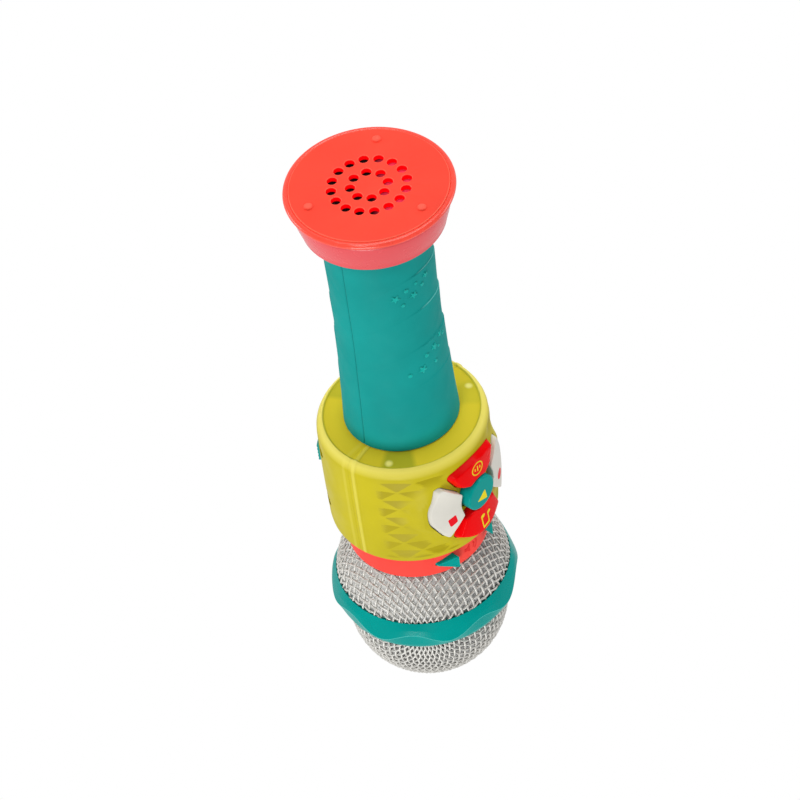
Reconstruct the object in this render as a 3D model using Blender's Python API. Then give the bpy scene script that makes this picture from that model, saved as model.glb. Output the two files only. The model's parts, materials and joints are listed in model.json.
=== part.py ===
"""Toy microphone, standing on the three feet of its speaker end with the head up.

+Z runs from the speaker end to the head, the buttons face -Y, and the origin is on the surface
that the feet stand on, below the centre of the speaker cover.
A "front angle" is measured about +Z from the front (-Y), positive towards +X.
"""

import math

import bmesh
import bpy
from mathutils import Matrix, Vector

# Every size below is in millimetres.
MM = 0.001
GAP = 0.3

# Shared fineness of round shapes.
SHELL_STEPS = 32
INNER_STEPS = 20
PIN_STEPS = 10

# Speaker end.
FOOT_HEIGHT = 0.8
FOOT_RADIUS = 1.7
FOOT_CIRCLE = 22.1
FOOT_START_ANGLE = 27.5
COVER_RADIUS = 27.3
COVER_THICKNESS = 2.0
HOLE_RADIUS = 1.75
HOLE_RINGS = ((16, 12.9), (8, 6.45))
HOLE_START_ANGLE = -2.3
LIP_RADIUS = 29.3
LIP_TOP_RADIUS = 27.65
CAP_TOP_RADIUS = 24.4
CAP_TOP = 16.5
CAP_HOLE_RADIUS = 17.7

# Handle.
HANDLE_RADIUS = 18.6
HANDLE_TOP_RADIUS = 20.7
HANDLE_TOP = 109.9
FLARE_START = 60.0
HANDLE_WALL = 2.0
HANDLE_SCREWS = (26.0, 100.0)
DOOR_HALF_ANGLE = 38.0
DOOR_BOTTOM = 33.5
DOOR_TOP = 92.0
DOOR_SCREW = 87.5

# Battery box and its three cells.
BOX_RADIUS = 13.0
BOX_BOTTOM = 31.0
BOX_TOP = 93.0
CELL_RADIUS = 5.25
CELL_CIRCLE = 6.4
CELL_BOTTOM = 38.5
CELL_LENGTH = 44.5

# Collar.
COLLAR_BOTTOM = 109.8
COLLAR_TOP = 157.5
COLLAR_RADIUS = 31.0
COLLAR_INNER_RADIUS = 28.8
COLLAR_HOLE_RADIUS = 19.7
RIM_RADIUS = 25.3
RIM_ROUND = 5.4
FLOOR_HOLE_RADIUS = 14.0
COLLAR_SCREW_X = 23.5
COLLAR_SCREW_HEIGHTS = (121.0, 146.0)

# Slide switch at the back of the collar, as an angle from +X towards +Y.
SWITCH_ANGLE = 60.0

# Button cluster: x is across, t is the height above the cluster's centre.
CLUSTER_HEIGHT = 133.3
BUTTON_FACE_RADIUS = 32.7
PLAY_RADIUS = 6.9
PLAY_FACE = 33.4
HOLE_CLEARANCE = 0.35
PLAY_CLEARANCE = 0.55
BUTTON_TRAVEL = 1.2
FLANGE_FRONT = 18.6
FLANGE_BACK = 17.4
WELL_BACK = 18.9
WEB_BACK = 16.1
WEB_RADIUS = 10.5
PLAY_FLANGE_RADIUS = 9.6
PLAY_FLANGE_FRONT = 15.8
PLAY_FLANGE_BACK = 14.6

# Neck ring and volume buttons.
NECK_BOTTOM = 157.8
NECK_TOP = 171.5
NECK_BOTTOM_RADIUS = 26.6
NECK_TOP_RADIUS = 25.9
NECK_WALL = 2.0
NECK_BOSS_CIRCLE = 17.5
NECK_BOSS_ANGLES = (90.0, 210.0, 330.0)
VOLUME_HEIGHT = 165.8
VOLUME_BASE_ANGLE = 18.5
VOLUME_TIP_ANGLE = 34.0
VOLUME_HALF_HEIGHT = 3.1
VOLUME_BASE_RADIUS = 29.4
VOLUME_TIP_RADIUS = 27.2

# Head.
NECK_DOME_RADIUS = 32.5
NECK_DOME_CENTRE = 195.3
NECK_DOME_START = 172.2
NECK_DOME_END = 190.9
CROWN_RADIUS = 29.9
CROWN_CENTRE = 210.2
CROWN_START = 202.2
MESH_THICKNESS = 1.0
LINER_GAP = 0.3
LINER_WALL = 1.5
RING_STEPS = 48
RING_WAVES = 8
RING_WAVE = 0.35


def finish(name, colour, roughness, metallic=0.0, transmission=0.0):
    """A Principled material, with its colour given as sRGB values from 0 to 1."""
    linear = [c / 12.92 if c <= 0.04045 else ((c + 0.055) / 1.055) ** 2.4 for c in colour]
    made = bpy.data.materials.new(name)
    made.use_nodes = True
    made.diffuse_color = (*linear, 1.0)
    shader = made.node_tree.nodes["Principled BSDF"]
    shader.inputs["Base Color"].default_value = (*linear, 1.0)
    shader.inputs["Roughness"].default_value = roughness
    shader.inputs["Metallic"].default_value = metallic
    shader.inputs["Transmission Weight"].default_value = transmission
    return made


def add(name, bm, material=None, place=None):
    """Puts a finished bmesh in the scene. Without a material it is a helper, which isn't rendered."""
    bmesh.ops.recalc_face_normals(bm, faces=bm.faces)
    mesh = bpy.data.meshes.new(name)
    bm.to_mesh(mesh)
    bm.free()
    obj = bpy.data.objects.new(name, mesh)
    bpy.context.scene.collection.objects.link(obj)
    if place is not None:
        obj.matrix_basis = place
    if material is None:
        obj.hide_render = True
        obj.display_type = "WIRE"
    else:
        mesh.materials.append(material)
        mesh.shade_smooth()
        mesh.set_sharp_from_angle(angle=math.radians(35))
    return obj


def combine(obj, other, operation):
    """Adds a Boolean modifier, with a helper object as its other side."""
    modifier = obj.modifiers.new(operation.lower() + "_" + other.name, "BOOLEAN")
    modifier.operation = operation
    modifier.object = other
    return obj


def arc(centre_r, centre_z, radius, start, end, steps):
    """Points of an arc in an (r, z) profile, its angles in degrees from +r towards +z."""
    angles = [math.radians(start + (end - start) * i / steps) for i in range(steps + 1)]
    return [(centre_r + radius * math.cos(a), centre_z + radius * math.sin(a)) for a in angles]


def turned(name, profile, material=None, steps=SHELL_STEPS, start=0.0, sweep=360.0):
    """Turns a closed (r, z) outline about Z. One that starts and ends at r = 0 closes on the axis."""
    full = sweep >= 360.0
    on_axis = profile[0][0] == 0 and profile[-1][0] == 0
    bm = bmesh.new()
    points = [bm.verts.new((r * MM, 0, z * MM)) for r, z in profile]
    edges = [bm.edges.new(pair) for pair in zip(points, points[1:])]
    if not on_axis:
        edges.append(bm.edges.new((points[-1], points[0])))
    bmesh.ops.rotate(bm, verts=points, matrix=Matrix.Rotation(math.radians(start), 3, "Z"))
    spun = bmesh.ops.spin(
        bm,
        geom=points + edges,
        axis=(0, 0, 1),
        angle=math.radians(sweep),
        steps=steps,
        use_merge=full,
    )
    if not full:
        last = [item for item in spun["geom_last"] if isinstance(item, bmesh.types.BMEdge)]
        bmesh.ops.contextual_create(bm, geom=edges)
        bmesh.ops.contextual_create(bm, geom=last)
    if on_axis:
        bmesh.ops.remove_doubles(bm, verts=bm.verts, dist=MM * 0.01)
    return add(name, bm, material)


def add_centred(name, bm, material):
    """Puts a bmesh in the scene with its object's origin in the middle of it."""
    low = Vector([min(v.co[i] for v in bm.verts) for i in range(3)])
    high = Vector([max(v.co[i] for v in bm.verts) for i in range(3)])
    middle = (low + high) / 2
    bmesh.ops.translate(bm, verts=bm.verts, vec=-middle)
    return add(name, bm, material, Matrix.Translation(middle))


def prism(name, outline, front, back, material=None):
    """Extrudes an (x, z) outline along Y, between two distances in front of the axis."""
    bm = bmesh.new()
    face = bm.faces.new([bm.verts.new((x * MM, -front * MM, z * MM)) for x, z in outline])
    extruded = bmesh.ops.extrude_face_region(bm, geom=[face])
    moved = [item for item in extruded["geom"] if isinstance(item, bmesh.types.BMVert)]
    bmesh.ops.translate(bm, verts=moved, vec=(0, (front - back) * MM, 0))
    return add_centred(name, bm, material)


def rod(name, start, end, radius, material=None, steps=PIN_STEPS, end_radius=None):
    """A round bar, or a cone, between two points."""
    start, end = Vector(start) * MM, Vector(end) * MM
    turn = (end - start).to_track_quat("Z", "Y").to_matrix().to_4x4()
    bm = bmesh.new()
    bmesh.ops.create_cone(
        bm,
        cap_ends=True,
        segments=steps,
        radius1=radius * MM,
        radius2=(radius if end_radius is None else end_radius) * MM,
        depth=(end - start).length,
    )
    return add(name, bm, material, Matrix.Translation((start + end) / 2) @ turn)


def block(name, low, high, material=None):
    """A box between two corners."""
    low, high = Vector(low) * MM, Vector(high) * MM
    bm = bmesh.new()
    bmesh.ops.create_cube(bm, size=1.0, matrix=Matrix.Diagonal((*(high - low), 1.0)))
    return add(name, bm, material, Matrix.Translation((low + high) / 2))


def offset(outline, distance):
    """Moves each side of a closed outline outwards, for the clearance around a button."""
    area = sum(a[0] * b[1] - b[0] * a[1] for a, b in zip(outline, outline[1:] + outline[:1]))
    sign = 1 if area > 0 else -1
    moved = []
    for i, (x, z) in enumerate(outline):
        before = Vector((x - outline[i - 1][0], z - outline[i - 1][1])).normalized()
        after_point = outline[(i + 1) % len(outline)]
        after = Vector((after_point[0] - x, after_point[1] - z)).normalized()
        normal = sign * (Vector((before.y, -before.x)) + Vector((after.y, -after.x))).normalized()
        spread = max(0.5, normal.dot(sign * Vector((after.y, -after.x))))
        moved.append((x + normal.x * distance / spread, z + normal.y * distance / spread))
    return moved


def raised(outline):
    """Moves an outline from the cluster's centre to its height."""
    return [(x, t + CLUSTER_HEIGHT) for x, t in outline]


def around(radius, front_angle, z):
    """A point at a front angle."""
    turn = math.radians(front_angle)
    return (radius * math.sin(turn), -radius * math.cos(turn), z)


def make_speaker_end(coral, black, steel, paper):
    """The perforated cover with its feet, the flared cap, and the loudspeaker between them."""
    bottom = FOOT_HEIGHT
    top = FOOT_HEIGHT + COVER_THICKNESS
    plate = [(0, bottom), (COVER_RADIUS, bottom), (COVER_RADIUS, top), (0, top)]
    cover = turned("speaker_cover", plate, coral)
    for i in range(3):
        x, y, _ = around(FOOT_CIRCLE, FOOT_START_ANGLE + 90 + 120 * i, 0)
        foot = rod(f"foot_{i}", (x, y, 0), (x, y, bottom + 0.6), 1.1, end_radius=FOOT_RADIUS)
        combine(cover, foot, "UNION")
    for ring, (count, circle) in enumerate(HOLE_RINGS):
        for i in range(count):
            angle = math.radians(HOLE_START_ANGLE + 360 * i / count)
            x, y = circle * math.cos(angle), circle * math.sin(angle)
            hole = rod(f"hole_{ring}_{i}", (x, y, bottom - 1), (x, y, top + 1), HOLE_RADIUS, steps=8)
            combine(cover, hole, "DIFFERENCE")

    lip = arc(28.0, 2.2, LIP_RADIUS - 28.0, -90, 30, 4)
    cap = [(27.6, 0.9), *lip, (LIP_TOP_RADIUS, 4.4), (CAP_TOP_RADIUS, CAP_TOP)]
    cap += [(CAP_HOLE_RADIUS, CAP_TOP), (CAP_HOLE_RADIUS, 14.5), (22.6, 14.5), (24.6, 7.4)]
    cap += [(21.3, 7.4), (21.3, 5.7), (25.0, 5.7), (25.0, 3.1), (27.6, 3.1)]
    turned("end_cap", cap, coral)

    turned("dust_cloth", [(0, 3.1), (18.0, 3.1), (18.0, 3.4), (0, 3.4)], black, INNER_STEPS)
    turned("speaker_gasket", [(18.6, 3.1), (22.0, 3.1), (22.0, 4.0), (18.6, 4.0)], black, INNER_STEPS)
    basket = [(22.0, 4.3), (22.0, 5.4), (18.8, 5.4), (10.2, 11.2), (4.0, 11.2)]
    basket += [(4.0, 10.4), (9.6, 10.4), (17.6, 4.9), (18.6, 4.3)]
    turned("speaker_frame", basket, steel, INNER_STEPS)
    cone = [(0, 6.6), (4.5, 7.6), (7.0, 8.9), (16.6, 4.5), (17.2, 4.5), (7.0, 9.6), (4.2, 8.3), (0, 7.2)]
    turned("speaker_cone", cone, paper, INNER_STEPS)
    turned("speaker_magnet", [(0, 11.5), (9.4, 11.5), (9.4, 17.0), (0, 17.0)], steel, INNER_STEPS)


def handle_radius(z):
    """The handle's outer radius: straight, then flaring towards the collar."""
    rise = max(0.0, z - FLARE_START) / (HANDLE_TOP - FLARE_START)
    return HANDLE_RADIUS + (HANDLE_TOP_RADIUS - HANDLE_RADIUS) * rise**1.2


def handle_profile():
    """A half shell's outline: cap groove, grip, collar groove, and the inside back down."""
    heights = [62, 74, 84, 94, 103, HANDLE_TOP]
    outer = [(20.5, 12.0), (20.5, 14.2), (17.4, 14.2), (17.4, 16.8), (HANDLE_RADIUS, 16.8)]
    outer += [(handle_radius(z), z) for z in heights]
    outer += [(19.4, HANDLE_TOP), (19.4, 112.7), (22.0, 112.7), (22.0, 114.6)]
    inner = [(17.2, 114.6), (17.2, 108.0)]
    inner += [(handle_radius(z) - HANDLE_WALL, z) for z in (103, 90, 76, 62)]
    inner += [(HANDLE_RADIUS - HANDLE_WALL, 20.0), (15.2, 18.0), (15.2, 12.0)]
    return outer + inner


def make_handle(teal, steel):
    """Two half shells held by two screws, and the battery door with its own screw."""
    slit = 0.5
    front = turned("handle_front", handle_profile(), teal, SHELL_STEPS // 2, 180 + slit, 180 - 2 * slit)
    rear = turned("handle_rear", handle_profile(), teal, SHELL_STEPS // 2, slit, 180 - 2 * slit)
    for i, z in enumerate(HANDLE_SCREWS):
        inner = handle_radius(z) - HANDLE_WALL + 0.8
        combine(front, rod(f"front_boss_{i}", (0, -inner, z), (0, -0.2, z), 3.0), "UNION")
        combine(front, rod(f"front_bore_{i}", (0, -12, z), (0, 1, z), 1.5), "DIFFERENCE")
        combine(rear, rod(f"rear_boss_{i}", (0, 0.2, z), (0, inner, z), 3.8), "UNION")
        combine(rear, rod(f"rear_bore_{i}", (0, -1, z), (0, 5, z), 1.5), "DIFFERENCE")
        combine(rear, rod(f"rear_sink_{i}", (0, 3.7, z), (0, 24, z), 2.9), "DIFFERENCE")
        make_screw(f"handle_screw_{i + 1}", (0, 4.0, z), 12.0, steel)

    opening = [(12.0, DOOR_BOTTOM), (24.0, DOOR_BOTTOM), (24.0, DOOR_TOP), (12.0, DOOR_TOP)]
    half = DOOR_HALF_ANGLE
    combine(rear, turned("door_opening", opening, None, 8, 90 - half, 2 * half), "DIFFERENCE")
    low, high = DOOR_BOTTOM + GAP, DOOR_TOP - GAP
    heights = [low, 62, 74, 84, high]
    door = [(handle_radius(z), z) for z in heights]
    door += [(handle_radius(z) - HANDLE_WALL, z) for z in reversed(heights)]
    half -= 0.9
    door = turned("battery_door", door, teal, 8, 90 - half, 2 * half)
    combine(door, rod("door_boss", (0, 14.6, DOOR_SCREW), (0, 18.0, DOOR_SCREW), 3.4), "UNION")
    combine(door, rod("door_bore", (0, 13, DOOR_SCREW), (0, 18, DOOR_SCREW), 1.5), "DIFFERENCE")
    combine(door, rod("door_sink", (0, 16.6, DOOR_SCREW), (0, 24, DOOR_SCREW), 2.6), "DIFFERENCE")
    make_screw("door_screw", (0, 16.9, DOOR_SCREW), 8.0, steel)


def make_screw(name, seat, length, steel, axis=(0, -1, 0)):
    """A pan-head screw whose head rests at the seat, with its shank along the axis."""
    seat, axis = Vector(seat), Vector(axis)
    screw = rod(name, seat - axis * 1.5, seat, 2.4, steel)
    shank = rod(name + "_shank", seat - axis * 0.5, seat + axis * length, 1.15)
    cross = rod(name + "_recess", seat - axis * 2.0, seat - axis * 0.9, 0.9, steps=4)
    combine(screw, shank, "UNION")
    combine(screw, cross, "DIFFERENCE")
    return screw


def make_battery_box(black, steel, cell_finish):
    """The round box in the handle, its three cells and the two contact plates."""
    ends = [(0, BOX_BOTTOM), (BOX_RADIUS, BOX_BOTTOM), (BOX_RADIUS, BOX_TOP), (0, BOX_TOP)]
    box = turned("battery_box", ends, black, INNER_STEPS)
    mouth = block("box_mouth", (-9.5, 2, 33.0), (9.5, 20, 85.6))
    combine(box, mouth, "DIFFERENCE")
    centres = [around(CELL_CIRCLE, angle, 0) for angle in (180, 300, 60)]
    for i, (x, y, _) in enumerate(centres):
        bore = rod(f"cell_bore_{i}", (x, y, 33.0), (x, y, 85.6), CELL_RADIUS + 0.5, steps=16)
        combine(box, bore, "DIFFERENCE")
    for i, z in enumerate((33.0, 84.1)):
        combine(box, rod(f"contact_pocket_{i}", (0, 0, z), (0, 0, z + 1.5), 9.4, steps=20), "DIFFERENCE")
    combine(box, rod("box_core", (0, 0, 33.0), (0, 0, 85.6), 2.5), "DIFFERENCE")
    combine(box, rod("box_bore", (0, 6, DOOR_SCREW), (0, 20, DOOR_SCREW), 1.5), "DIFFERENCE")

    plate = rod("battery_contact_bottom", (0, 0, 33.3), (0, 0, 34.0), 9.0, steel, INNER_STEPS)
    for i, (x, y, _) in enumerate(centres):
        spring = rod(f"contact_spring_{i}", (x, y, 33.8), (x, y, 38.1), 2.9, steps=10, end_radius=1.9)
        combine(plate, spring, "UNION")
        cell_top = CELL_BOTTOM + CELL_LENGTH
        start, end = (x, y, CELL_BOTTOM), (x, y, cell_top - 1)
        cell = rod(f"battery_{i + 1}", start, end, CELL_RADIUS, cell_finish, 16)
        nub = rod(f"nub_{i}", (x, y, cell_top - 4), (x, y, cell_top), 1.9)
        combine(cell, nub, "UNION")
    rod("battery_contact_top", (0, 0, 84.4), (0, 0, 85.1), 9.0, steel, INNER_STEPS)


def collar_profile():
    """A half collar's outline: round rim, wall, floor that grips the neck, and the inside."""
    rim_centre = COLLAR_BOTTOM + RIM_ROUND
    outer = [(COLLAR_HOLE_RADIUS, COLLAR_BOTTOM + 0.5)]
    outer += arc(RIM_RADIUS, rim_centre, RIM_ROUND, -90, 0, 6)
    outer += [(COLLAR_RADIUS, 130.0), (30.8, 141.0), (30.5, 151.7), (30.8, COLLAR_TOP)]
    floor = [(FLOOR_HOLE_RADIUS, COLLAR_TOP), (FLOOR_HOLE_RADIUS, 155.8), (28.5, 155.8)]
    inner = [(COLLAR_INNER_RADIUS, 130.0), (28.5, rim_centre)]
    inner += arc(RIM_RADIUS, rim_centre, RIM_ROUND - 2.2, 0, -90, 4)[1:]
    return outer + floor + inner + [(COLLAR_HOLE_RADIUS, 112.4)]


def red_outline(corner, bulge, side):
    """A red button: a curved outer side, sloping ends and a hollow towards the play button."""
    outer = [(x, side * (corner + bulge * (1 - (x / 10.2) ** 2))) for x in (10.2, 5.1, 0, -5.1, -10.2)]
    hollow = [math.radians(90 + a) for a in (-32, -16, 0, 16, 32)]
    reach = PLAY_RADIUS + 0.7
    inner = [(reach * math.cos(a), side * reach * math.sin(a)) for a in reversed(hollow)]
    return [*outer, (-7.6, side * 8.4), *inner, (7.6, side * 8.4)]


def white_outline(side):
    """A white button: a blunt point outwards and a hollow towards the play button."""
    outer = [(6.8, -4.4), (14.9, -12.6), (16.0, -12.2), (20.1, -4.0), (20.6, 0)]
    outer += [(20.1, 4.0), (15.2, 12.6), (14.2, 13.0), (6.8, 5.4)]
    reach = PLAY_RADIUS + 0.7
    hollow = [(reach * math.cos(a), reach * math.sin(a)) for a in map(math.radians, (28, 9, -9, -26))]
    return [(side * x, t) for x, t in outer + hollow]


def cluster():
    """Each outer button's outline and the outline of the flange that holds it in."""
    white_flange = [(11.6, -10.2), (16.6, -13.6), (21.4, -4.2), (21.8, 0)]
    white_flange += [(21.4, 4.2), (15.8, 14.0), (11.6, 10.8)]
    upper = [(-11.2, -15.5), (0, -17.6), (11.2, -15.5), (9.4, -10.7), (-9.4, -10.7)]
    lower = [(-11.0, 16.4), (0, 21.2), (11.0, 16.4), (9.4, 10.7), (-9.4, 10.7)]
    return {
        "effects_button": (red_outline(14.6, 1.8, -1), upper),
        "song_button": (red_outline(15.6, 4.6, 1), lower),
        "stop_button": (white_outline(1), white_flange),
        "record_button": (white_outline(-1), [(-x, t) for x, t in white_flange]),
    }


def make_buttons(red, white, teal):
    """The four outer buttons, whose faces follow the collar, and the round play button."""
    finishes = {"effects_button": red, "song_button": red, "stop_button": white, "record_button": white}
    limit = [(0, 100), (BUTTON_FACE_RADIUS, 100), (BUTTON_FACE_RADIUS, 170), (0, 170)]
    face_limit = turned("button_face_limit", limit, None, 72)
    for name, (outline, flange) in cluster().items():
        button = prism(name, raised(outline), 34.0, FLANGE_BACK, finishes[name])
        combine(button, face_limit, "INTERSECT")
        combine(button, prism(name + "_flange", raised(flange), FLANGE_FRONT, FLANGE_BACK), "UNION")
    z = CLUSTER_HEIGHT
    play = rod("play_button", (0, -PLAY_FLANGE_BACK, z), (0, -PLAY_FACE, z), PLAY_RADIUS, teal, 24)
    flange = rod("play_flange", (0, -PLAY_FLANGE_BACK, z), (0, -PLAY_FLANGE_FRONT, z), PLAY_FLANGE_RADIUS)
    combine(play, flange, "UNION")


def make_collar(yellow, steel):
    """The two translucent half collars, with the button wells in the front one."""
    slit = 0.3
    front = turned("collar_front", collar_profile(), yellow, SHELL_STEPS // 2, 180 + slit, 180 - 2 * slit)
    rear = turned("collar_rear", collar_profile(), yellow, SHELL_STEPS // 2, slit, 180 - 2 * slit)
    inside = turned("collar_inside", [(0, 111), (30.0, 111), (30.0, 156.5), (0, 156.5)])

    wells = [(12.5, -17.8), (22.6, -6.0), (22.6, 6.0), (13.0, 22.4)]
    wells += [(-x, t) for x, t in reversed(wells)]
    walls = prism("well_walls", raised(wells), 33.0, WELL_BACK)
    combine(walls, inside, "INTERSECT")
    combine(front, walls, "UNION")
    web = rod("play_web", (0, -26, CLUSTER_HEIGHT), (0, -WEB_BACK, CLUSTER_HEIGHT), WEB_RADIUS, steps=24)
    combine(front, web, "UNION")
    for name, (outline, _) in cluster().items():
        hole = prism(name + "_hole", offset(raised(outline), HOLE_CLEARANCE), 40.0, 10.0)
        combine(front, hole, "DIFFERENCE")
    z = CLUSTER_HEIGHT
    play_hole = rod("play_hole", (0, -40, z), (0, -10, z), PLAY_RADIUS + PLAY_CLEARANCE, steps=24)
    combine(front, play_hole, "DIFFERENCE")

    screws = [(x, z) for z in COLLAR_SCREW_HEIGHTS for x in (COLLAR_SCREW_X, -COLLAR_SCREW_X)]
    for i, (x, z) in enumerate(screws):
        post = combine(rod(f"front_post_{i}", (x, -21, z), (x, -0.2, z), 3.0), inside, "INTERSECT")
        combine(front, post, "UNION")
        combine(front, rod(f"post_bore_{i}", (x, -10, z), (x, 1, z), 1.5), "DIFFERENCE")
        post = combine(rod(f"rear_post_{i}", (x, 0.2, z), (x, 21, z), 3.8), inside, "INTERSECT")
        combine(rear, post, "UNION")
        combine(rear, rod(f"through_bore_{i}", (x, -1, z), (x, 5, z), 1.5), "DIFFERENCE")
        combine(rear, rod(f"post_sink_{i}", (x, 3.7, z), (x, 30, z), 2.9), "DIFFERENCE")
        make_screw(f"collar_screw_{i + 1}", (x, 4.0, z), 11.0, steel)
    return rear


def make_power_switch(collar_rear, teal, black):
    """The slide switch at the back of the collar: its knob and the switch behind it."""
    turn = Matrix.Rotation(math.radians(SWITCH_ANGLE), 4, "Z")
    slot = block("switch_slot", (26, -1.8, 129.4), (34, 1.8, 139.2))
    knob = block("power_switch", (31.5, -2.8, 128.8), (32.6, 2.8, 136.4), teal)
    stem = block("switch_stem", (27.9, -1.4, 130.0), (31.8, 1.4, 134.6))
    body = block("switch_body", (23.6, -4.0, 125.8), (27.5, 4.0, 140.8), black)
    for obj in (slot, knob, stem, body):
        obj.matrix_basis = turn @ obj.matrix_basis
    combine(collar_rear, slot, "DIFFERENCE")
    combine(knob, stem, "UNION")


def make_electronics(green, black, rubber, led_finish, wire_red, wire_black):
    """The boards, the rubber keypad, the lights and the wires in the handle and collar."""
    z = CLUSTER_HEIGHT
    pad = block("keypad", (-19.0, -11.4, 117.3), (19.0, -10.6, 153.0), rubber)
    for i, (x, t) in enumerate([(0, -13.0), (0, 13.0), (13.5, 0.3), (-13.5, 0.3)]):
        combine(pad, rod(f"dome_{i}", (x, -11, z + t), (x, -15.8, z + t), 3.0, end_radius=2.2), "UNION")
    combine(pad, rod("dome_play", (0, -11, z), (0, -13.0, z), 4.0, end_radius=2.6), "UNION")
    block("button_board", (-19.0, -10.3, 117.3), (19.0, -8.9, 153.0), green)
    block("main_board", (-18.5, 7.0, 118.5), (18.5, 8.4, 152.0), green)
    chip = turned("sound_chip", [(0, 0), (6.0, 0), (5.0, 1.4), (2.6, 2.2), (0, 2.4)], black, 16)
    chip_place = Matrix.Translation((0, 6.7 * MM, 136 * MM))
    chip.matrix_basis = chip_place @ Matrix.Rotation(math.radians(90), 4, "X")

    turned("led_board", [(19.5, 115.5), (26.8, 115.5), (26.8, 116.9), (19.5, 116.9)], green, 30, -45, 270)
    for i, front_angle in enumerate((61, 180, -61)):
        x, y, _ = around(24.6, front_angle, 0)
        rod(f"led_{i + 1}", (x, y, 112.9), (x, y, 115.2), 1.0, led_finish, end_radius=1.6)

    rise = [(14.8, 0, 104), (14.0, 1.5, 113), (12.5, 4.5, 121), (12, 5.2, 127)]
    low = [(12.8, 0, 10.5), (13.2, 0, 15), (14.6, 0, 24), (14.8, 0, 50), (14.8, 0, 80)]
    tube("speaker_wire", low + rise, 0.8, wire_red)
    mirrored = [(-x, y, z) for x, y, z in rise]
    tube("battery_wire", [(-14.8, 0, 84), (-14.8, 0, 92), *mirrored], 0.8, wire_black)


def make_neck(coral, teal, rubber, green, steel):
    """The coral ring below the head, with the two volume buttons and what is behind them."""
    flange = [(11.5, 154.2), (15.5, 154.2), (15.5, 155.5), (13.7, 155.5), (13.7, NECK_BOTTOM)]
    outer = [(NECK_BOTTOM_RADIUS, NECK_BOTTOM), (NECK_TOP_RADIUS, NECK_TOP)]
    inner = [(NECK_TOP_RADIUS - NECK_WALL, NECK_TOP), (NECK_BOTTOM_RADIUS - NECK_WALL, 159.6)]
    inner += [(11.5, 159.6)]
    ring = turned("neck_ring", flange + outer + inner, coral)
    for i, angle in enumerate(NECK_BOSS_ANGLES):
        x = NECK_BOSS_CIRCLE * math.cos(math.radians(angle))
        y = NECK_BOSS_CIRCLE * math.sin(math.radians(angle))
        combine(ring, rod(f"neck_boss_{i}", (x, y, 159.0), (x, y, 169.7), 3.0), "UNION")
        combine(ring, rod(f"neck_bore_{i}", (x, y, 161.0), (x, y, 172.0), 1.5), "DIFFERENCE")
        make_screw(f"neck_screw_{i + 1}", (x, y, 171.9), 7.0, steel, (0, 0, -1))

    for name, side in (("volume_down_button", 1), ("volume_up_button", -1)):
        base = around(VOLUME_BASE_RADIUS, side * VOLUME_BASE_ANGLE, 0)
        tip = around(VOLUME_TIP_RADIUS, side * VOLUME_TIP_ANGLE, 0)
        z, half = VOLUME_HEIGHT, VOLUME_HALF_HEIGHT
        outline = [(base[0], z - half), (base[0], z + half), (tip[0], z + 0.4), (tip[0], z - 0.4)]
        button = wedge(name, outline, -base[1], -tip[1], 16.7, teal)
        flange = prism(name + "_flange", offset(outline, 0.6), 17.7, 16.7)
        combine(button, flange, "UNION")
        combine(ring, prism(name + "_hole", offset(outline, HOLE_CLEARANCE), 40, 12), "DIFFERENCE")

    pad = block("volume_keypad", (-14.0, -14.6, 161.0), (14.0, -13.8, 169.2), rubber)
    for i, x in enumerate((-11.6, 11.6)):
        start, end = (x, -14.2, VOLUME_HEIGHT), (x, -15.3, VOLUME_HEIGHT)
        dome = rod(f"volume_dome_{i}", start, end, 2.2, end_radius=1.4)
        combine(pad, dome, "UNION")
    block("volume_board", (-14.0, -13.5, 161.0), (14.0, -12.3, 169.2), green)


def wedge(name, outline, base_front, tip_front, back, material):
    """A prism along Y whose face slopes from the base (the first two points) to the tip."""
    fronts = (base_front, base_front, tip_front, tip_front)
    bm = bmesh.new()
    faces = [bm.verts.new((x * MM, -front * MM, z * MM)) for (x, z), front in zip(outline, fronts)]
    backs = [bm.verts.new((x * MM, -back * MM, z * MM)) for x, z in outline]
    bm.faces.new(faces)
    bm.faces.new(backs)
    for i in range(4):
        j = (i + 1) % 4
        bm.faces.new((faces[i], faces[j], backs[j], backs[i]))
    return add_centred(name, bm, material)


def dome_arc(radius, centre, start, end, steps):
    """An arc of a dome about the axis, between two heights."""
    angles = [math.degrees(math.asin(max(-1, min(1, (z - centre) / radius)))) for z in (start, end)]
    return arc(0, centre, radius, *angles, steps)


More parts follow.
